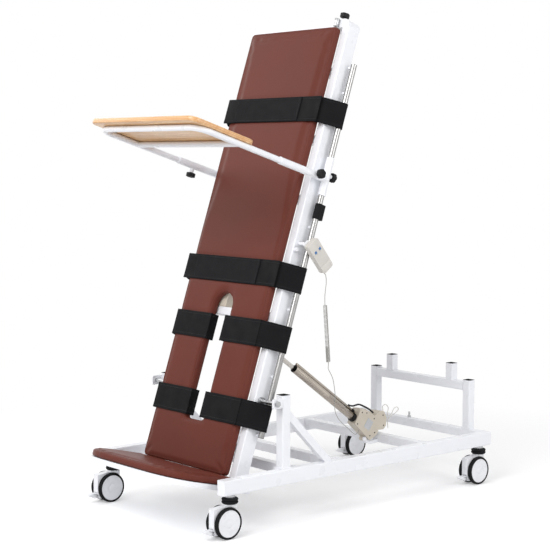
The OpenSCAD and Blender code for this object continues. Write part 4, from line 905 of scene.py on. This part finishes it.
# Hand control. A light grey ABS case of two halves with rounded edges, a shallow finger groove
# across it, two blue push buttons in thin frames and a ribbed sleeve where the cord leaves it.
HANDSET = (BED @ shift(0.353, 0.9535, -0.134) @ rotate(90, "Z") @ rotate(90, "X")
           @ rotate(56.8, "Z"))
CASE_L, CASE_W, CASE_T, CASE_CORNER, CASE_EDGE = 0.148, 0.062, 0.026, 0.012, 0.0026
GROOVE, GROOVE_DEEP = (-0.0415, -0.0385), 0.0008
PARTING_HALF, PARTING_DEEP = 0.0006, 0.0006
BUTTON_A, BUTTON_B, BUTTON_W, BUTTON_T, BUTTON_SINK = 0.0275, 0.0137, 0.0108, 0.004, 0.0005
FIELD_W, FIELD_RIM, FIELD_T = 0.0155, 0.0017, 0.0012
SLEEVE_Y, SLEEVE_R, RIBS, RIB_PITCH = 0.020, 0.0034, 7, 0.0011
# Light grey ABS: warm pale grey, satin, with the fine texture of the mould.
case_abs = surface("moulded_light_grey_abs", "#cbc7c1", "#d7d3cd", 0.4, 1.0, 0.02, patch_mm=40)[0]
case = start("cube", "handset_body", size=1.0)
case.data.transform(shift(0, 0, CASE_T / 2) @ stretch(CASE_L, CASE_W, CASE_T))
pick(case, lambda a, b: abs(a.z - b.z) > CASE_T / 2, "EDGE")
bpy.ops.mesh.bevel(offset=CASE_CORNER, segments=8)
close_edit()
for spot, way in (((GROOVE[0], 0, 0), X), ((GROOVE[1], 0, 0), X),
                  ((0, 0, CASE_T / 2 - PARTING_HALF), Z), ((0, 0, CASE_T / 2 + PARTING_HALF), Z)):
    pick(case, lambda middle, normal: True)
    bpy.ops.mesh.bisect(plane_co=spot, plane_no=way)
    close_edit()
pick(case, lambda middle, normal: GROOVE[0] < middle.x < GROOVE[1] and abs(normal.z) > 0.5)
bpy.ops.mesh.extrude_region_shrink_fatten(TRANSFORM_OT_shrink_fatten={"value": -GROOVE_DEEP})
close_edit()
pick(case, lambda middle, normal: abs(middle.z - CASE_T / 2) < PARTING_HALF and abs(normal.z) < 0.5)
bpy.ops.mesh.extrude_region_shrink_fatten(TRANSFORM_OT_shrink_fatten={"value": -PARTING_DEEP})
close_edit()
eased(case, CASE_EDGE, 4, 60)
# A thin raised frame round each button.
trims = []
for sign in (1, -1):
    key_frame = start("plane", "key_frame", size=FIELD_W,
                      location=(BUTTON_A, sign * BUTTON_B, CASE_T))
    pick(key_frame, lambda middle, normal: True)
    bpy.ops.mesh.inset(thickness=FIELD_RIM)
    bpy.ops.mesh.delete(type="FACE")
    close_edit()
    shaped(key_frame, "SOLIDIFY", thickness=FIELD_T, offset=1.0)
    eased(key_frame, 0.0003)
    trims.append(key_frame)
sleeve_profile = [(0.0, -CASE_L / 2 + 0.004), (SLEEVE_R, -CASE_L / 2 + 0.004)]
for k in range(RIBS):
    at = -CASE_L / 2 - 0.0005 - k * RIB_PITCH
    rib, neck = SLEEVE_R - 0.00018 * k, 0.0028 - 0.00014 * k
    sleeve_profile += [(rib, at), (rib, at - 0.0006), (neck, at - 0.0007), (neck, at - 0.001)]
sleeve_profile.append((0.0, sleeve_profile[-1][1]))
sleeve = turned("cord_sleeve", sleeve_profile, 24, closed=False)
sleeve.data.transform(shift(0, SLEEVE_Y, CASE_T / 2) @ rotate(90, "Y"))
smoothed(case)
settle(joined("handset_body", [case, *trims]), HANDSET, case_abs, "bed", "grey_plastic",
       "handset_case")
settle(sleeve, HANDSET, case_abs, "bed", "grey_plastic")
# Push button: clear blue ABS, glossier than the case.
button_abs = surface("moulded_blue_abs", "#3f6ea6", "#4d7db4", 0.26, 1.0, 0.01, patch_mm=12)[0]
for word, sign in (("up", 1), ("down", -1)):
    button = start("cube", f"button_{word}", size=1.0)
    button.data.transform(shift(BUTTON_A, sign * BUTTON_B, CASE_T - BUTTON_SINK)
                          @ stretch(BUTTON_W, BUTTON_W, BUTTON_T))
    pick(button, lambda middle, normal: normal.z > 0.9)
    bpy.ops.mesh.inset(thickness=0.0022)
    bpy.ops.transform.translate(value=(0, 0, -0.0004))
    close_edit()
    eased(button, 0.0007, 3, 25)
    smoothed(button)
    settle(button, HANDSET, button_abs, f"button_{word}_body", "blue_plastic",
           f"handset_button_{word}")

# Control box and gear housing. The moulded box of the electric drive is screwed to a cross-member
# behind the pad, and the actuator's housing is cast. Both have the same beige.
# Beige enamel: a warm putty tone with the fine orange-peel of a hard enamel.
beige_case = surface("beige_enamelled_casting", "#c6bdad", "#d5ccbd", 0.42, 2.2, 0.05,
                     patch_mm=60)[0]
dress(beige_case, "control_box", 0.003)
dress(beige_case, "lift_housing", 0.0022)

# Actuator. A cast housing of motor and gears with a bare label plate and black screws, an outer
# tube with a slim tube above it, and the ground steel rod that slides out of a black wiper ring.
LIFT_SLOPE, LIFT_OFFSET, MOUTH = 35.814, 0.048, 0.5398
SLIM_X, SLIM_Y, SLIM_FROM = -0.0075, 0.073, 0.118
LIFT_FOOT = (0.1, 0.272, 0.214)
LIFT = BASE @ shift(*LIFT_FOOT) @ rotate(90 - LIFT_SLOPE, "X")


def drawn_metal(name, dark, light, rough):
    """Steel with fine lines along the actuator, 1.2 mm apart."""
    material, tree, glossy, where = surface(name, dark, light, rough, 5.0, 0.006, patch_mm=70,
                                            spread=0.06, Metallic=1.0)
    along = add(tree, "Mapping", {"Vector": where, "Scale": (1.0, 1.0, 0.02),
                                  "Rotation": (-math.radians(90 - LIFT_SLOPE), 0.0, 0.0)})
    lines = add(tree, "TexNoise", {"Vector": along.outputs["Vector"], "Scale": 1000 / 1.2,
                                   "Detail": 3.0})
    add_relief(tree, glossy, lines.outputs["Fac"], 0.02)
    return material


# Drawn steel tube: a brown-grey satin metal, with draw lines along the tube, drawn at 1.2 mm.
drawn_tube = drawn_metal("drawn_satin_steel_tube", "#a39a90", "#b5aca2", 0.27)
# Ground rod: brighter and smoother than the tube, with the same fine lines.
ground_rod = drawn_metal("ground_steel_rod", "#bdb8b1", "#cdc8c1", 0.18)
dress(drawn_tube, "lift_tubes", 0.0008)
dress(ground_rod, "lift_rod", 0.0008)
wiper = turned("lift_wiper_ring", [(0.0102, 0.0), (0.0165, 0.0), (0.0172, 0.0006), (0.0172, 0.0022),
                                   (0.0160, 0.0029), (0.0108, 0.0033), (0.0102, 0.0029)], 48)
foot_collar = turned("collar", [(0.0171, 0.104), (0.0198, 0.104), (0.0204, 0.1055), (0.0204, 0.119),
                                (0.0196, 0.1205), (0.0171, 0.1205)], 48)
slim_collar = turned("collar", [(0.0071, 0.0), (0.0094, 0.0), (0.0098, 0.001), (0.0098, 0.009),
                                (0.0092, 0.010), (0.0071, 0.010)], 32)
slim_collar.data.transform(shift(SLIM_X, SLIM_Y, SLIM_FROM))
foot_collar.data.transform(shift(0, LIFT_OFFSET, 0))
settle(wiper, LIFT @ shift(0, LIFT_OFFSET, MOUTH), tyre_rubber, "actuator", "black_rubber")
settle(joined("lift_tube_collars", [foot_collar, slim_collar]), LIFT, moulded_abs, "actuator",
       "dark_plastic")

# Label plate and cover screws. The plate is a thin anodised sheet, left bare and glued in the
# middle of the housing's cover, and eight black screws hold the cover.
COVER_X, LABEL_AT, LABEL_SIZE = 0.025, (0.0256, 0.062, 0.026), (0.0012, 0.046, 0.040)
plate = start("cube", "bare_plate", size=1.0)
plate.data.transform(shift(*LABEL_AT) @ stretch(*LABEL_SIZE))
pick(plate, lambda middle, normal: normal.x > 0.9)
bpy.ops.mesh.inset(thickness=0.0022)
bpy.ops.transform.translate(value=(-0.0004, 0, 0))
close_edit()
eased(plate, 0.0003)
# Bare anodised plate: cool blue-grey, satin, with a slight cross grain.
bare_plate = surface("anodised_bare_plate", "#bcbec1", "#cbcdcf", 0.36, 1.6, 0.01, patch_mm=15,
                     Metallic=0.4)[0]
screw = turned("screw", [(0.0, 0.0009), (0.0012, 0.0009), (0.0014, 0.0018), (0.0022, 0.0016),
                         (0.0029, 0.0009), (0.0031, 0.0), (0.0, 0.0)], 20, closed=False)
SCREWS = [(88, 30), (92, 86), (66, 98), (-12, 24), (-30, 50), (-60, 104), (-30, 140), (10, 100)]
screws = [copied(screw, shift(COVER_X, g * MM, f * MM) @ rotate(90, "Y")) for f, g in SCREWS]
bpy.data.objects.remove(screw)
settle(plate, LIFT, bare_plate, "actuator", "label_plastic", "lift_trim")
settle(joined("lift_cover_screws", screws), LIFT, moulded_abs, "actuator", "dark_plastic",
       "lift_trim")

# Tray board. A varnished beech ply board on the telescoping frame, with round corners and a
# half-round edge in which the plies show.
BOARD_W, BOARD_D, BOARD_T, BOARD_R = 0.700, 0.330, 0.020, 0.040
BOARD_FROM, BOARD_SEAT = -0.310, 0.0125
BOARD = TRAY @ shift(0, BOARD_FROM - BOARD_D / 2, BOARD_SEAT)
board = start("plane", "beech_board", size=1.0)
board.data.transform(stretch(BOARD_W, BOARD_D, 1))
pick(board, lambda spot: True, "VERT")
bpy.ops.mesh.bevel(offset=BOARD_R, segments=10, affect="VERTICES")
bpy.ops.mesh.select_all(action="SELECT")
bpy.ops.mesh.extrude_region_move(TRANSFORM_OT_translate={"value": (0, 0, BOARD_T)})
bpy.ops.mesh.select_all(action="SELECT")
bpy.ops.mesh.normals_make_consistent(inside=False)
close_edit()
eased(board, 0.0045, 4, 50)
smoothed(board)
# Varnished beech: pale orange-tan, with long straight figure across the board, short dark flecks
# and thin darker plies along the edge, under a satin varnish. The figure is 14 mm wide, a fleck is
# 2.6 mm and a pair of plies 3.3 mm.
beech, tree, glossy, where = surface("varnished_beech_ply", "#c8935c", "#d9a872", 0.34, 0.9, 0.02,
                                     patch_mm=120, spread=0.05, Coat_Weight=0.3, Coat_Roughness=0.2)
in_board = add(tree, "Mapping", {"Vector": where, "Rotation": tuple(BOARD.inverted().to_euler())})
long_way = add(tree, "Mapping", {"Vector": in_board.outputs["Vector"], "Scale": (0.06, 1.0, 1.0)})
figure = add(tree, "TexNoise", {"Vector": long_way.outputs["Vector"], "Scale": 1000 / 14,
                                "Detail": 5.0, "Distortion": 0.6})
fleck_way = add(tree, "Mapping", {"Vector": in_board.outputs["Vector"], "Scale": (0.22, 1.0, 1.0)})
flecks = add(tree, "TexNoise", {"Vector": fleck_way.outputs["Vector"], "Scale": 1000 / 2.6,
                                "Detail": 1.0})
fleck_mask = add(tree, "MapRange", {"Value": flecks.outputs["Fac"],
                                    "From Min": 0.62, "From Max": 0.72})
grain_tone = add(tree, "MapRange", {"Value": figure.outputs["Fac"],
                                    "From Min": 0.35, "From Max": 0.65})
wood = add(tree, "Mix", {0: grain_tone.outputs["Result"], 6: linear("#d29e69"),
                         7: linear("#ebc594")}, data_type="RGBA")
flecked = add(tree, "Mix", {0: fleck_mask.outputs["Result"], 6: wood.outputs[2],
                            7: linear("#c28b58")}, data_type="RGBA")
plies = add(tree, "TexWave", {"Vector": in_board.outputs["Vector"], "Scale": wave_scale(3.3),
                              "Distortion": 0.3}, bands_direction="Z")
side_on = add(tree, "NewGeometry")
board_up = tuple((BOARD.to_3x3() @ Z).normalized())
facing = add(tree, "VectorMath", {0: side_on.outputs["Normal"], 1: board_up},
             operation="DOT_PRODUCT")
flat_share = add(tree, "Math", {0: facing.outputs["Value"]}, operation="ABSOLUTE")
edge_share = add(tree, "MapRange", {"Value": flat_share.outputs["Value"],
                                    "From Min": 0.6, "From Max": 0.3})
ply_mask = add(tree, "Math", {0: plies.outputs["Fac"], 1: edge_share.outputs["Result"]},
               operation="MULTIPLY")
edged = add(tree, "Mix", {0: ply_mask.outputs["Value"], 6: flecked.outputs[2],
                          7: linear("#d09860")}, data_type="RGBA")
tree.links.new(edged.outputs[2], glossy.inputs["Base Color"])
settle(board, BOARD, beech, "tray", "beech", "tray_board")

# Room. A plain white floor that keeps the table's shadow, a white background, and broad soft
# lamps: one in front, one at the near side and a weak one at the far side.
FLOOR_SIZE, NEAR_GLOW, FADE_FROM, FADE_TO, SKY_LIGHT = 40.0, 0.26, 1.0, 2.6, 0.56
LAMPS_AT = Vector((0.0, 0.0, 0.9))
floor = start("plane", "studio_floor", size=FLOOR_SIZE)


def seen_rays(tree):
    """One for the rays in which the background shows: the camera's, and those off metal or
    through glass. Nought for all others."""
    path = add(tree, "LightPath")
    seen = path.outputs["Is Camera Ray"]
    for kind in ("Is Glossy Ray", "Is Transmission Ray"):
        either = add(tree, "Math", {0: seen, 1: path.outputs[kind]}, operation="MAXIMUM")
        seen = either.outputs["Value"]
    return seen


# Matt white paper: the camera and mirrors see it a little brighter near the table, and farther off
# it turns to plain white, so that only the table's shadow is left. Other rays meet plain paper.
paper, tree, glossy, where = surface("matt_white_floor_paper", "#e9e9ea", "#ebebec", 0.9, 8.0, 0.0)
sheet_out = [node for node in tree.nodes if node.type == "OUTPUT_MATERIAL"][0]
distance = add(tree, "VectorMath", {0: where}, operation="LENGTH")
far_share = add(tree, "MapRange", {"Value": distance.outputs["Value"],
                                   "From Min": FADE_FROM, "From Max": FADE_TO})
seen = seen_rays(tree)
near_level = add(tree, "Math", {0: seen, 1: NEAR_GLOW}, operation="MULTIPLY")
near_glow = add(tree, "Emission", {"Strength": near_level.outputs["Value"]})
near_floor = add(tree, "AddShader", {0: glossy.outputs["BSDF"], 1: near_glow.outputs["Emission"]})
white = add(tree, "Emission", {"Strength": 1.0})
white_share = add(tree, "Math", {0: seen, 1: far_share.outputs["Result"]}, operation="MULTIPLY")
fading = add(tree, "MixShader", {0: white_share.outputs["Value"], 1: near_floor.outputs["Shader"],
                                 2: white.outputs["Emission"]})
tree.links.new(fading.outputs["Shader"], sheet_out.inputs["Surface"])
floor.data.materials.append(paper)
world = bpy.data.worlds.new("white_studio")
bpy.context.scene.world = world
world.use_nodes = True
tree = world.node_tree
sky = tree.nodes["Background"]
sky.inputs["Color"].default_value = (1.0, 1.0, 1.0, 1.0)
sky_level = add(tree, "MapRange", {"Value": seen_rays(tree), "To Min": SKY_LIGHT, "To Max": 1.0})
tree.links.new(sky_level.outputs["Result"], sky.inputs["Strength"])
for name, size, power, spot in (("key_lamp", 3.0, 176.0, (1.0, -4.4, 4.2)),
                                ("side_lamp", 2.4, 68.0, (4.6, 1.0, 2.6)),
                                ("far_lamp", 2.6, 45.0, (-4.0, -1.2, 3.2))):
    lamp = bpy.data.objects.new(name, bpy.data.lights.new(name, "AREA"))
    lamp.data.size = size
    lamp.data.energy = power
    bpy.context.collection.objects.link(lamp)
    lamp.location = spot
    lamp.rotation_euler = (LAMPS_AT - Vector(spot)).to_track_quat("-Z", "Y").to_euler()
bpy.context.scene.view_settings.view_transform = "Standard"
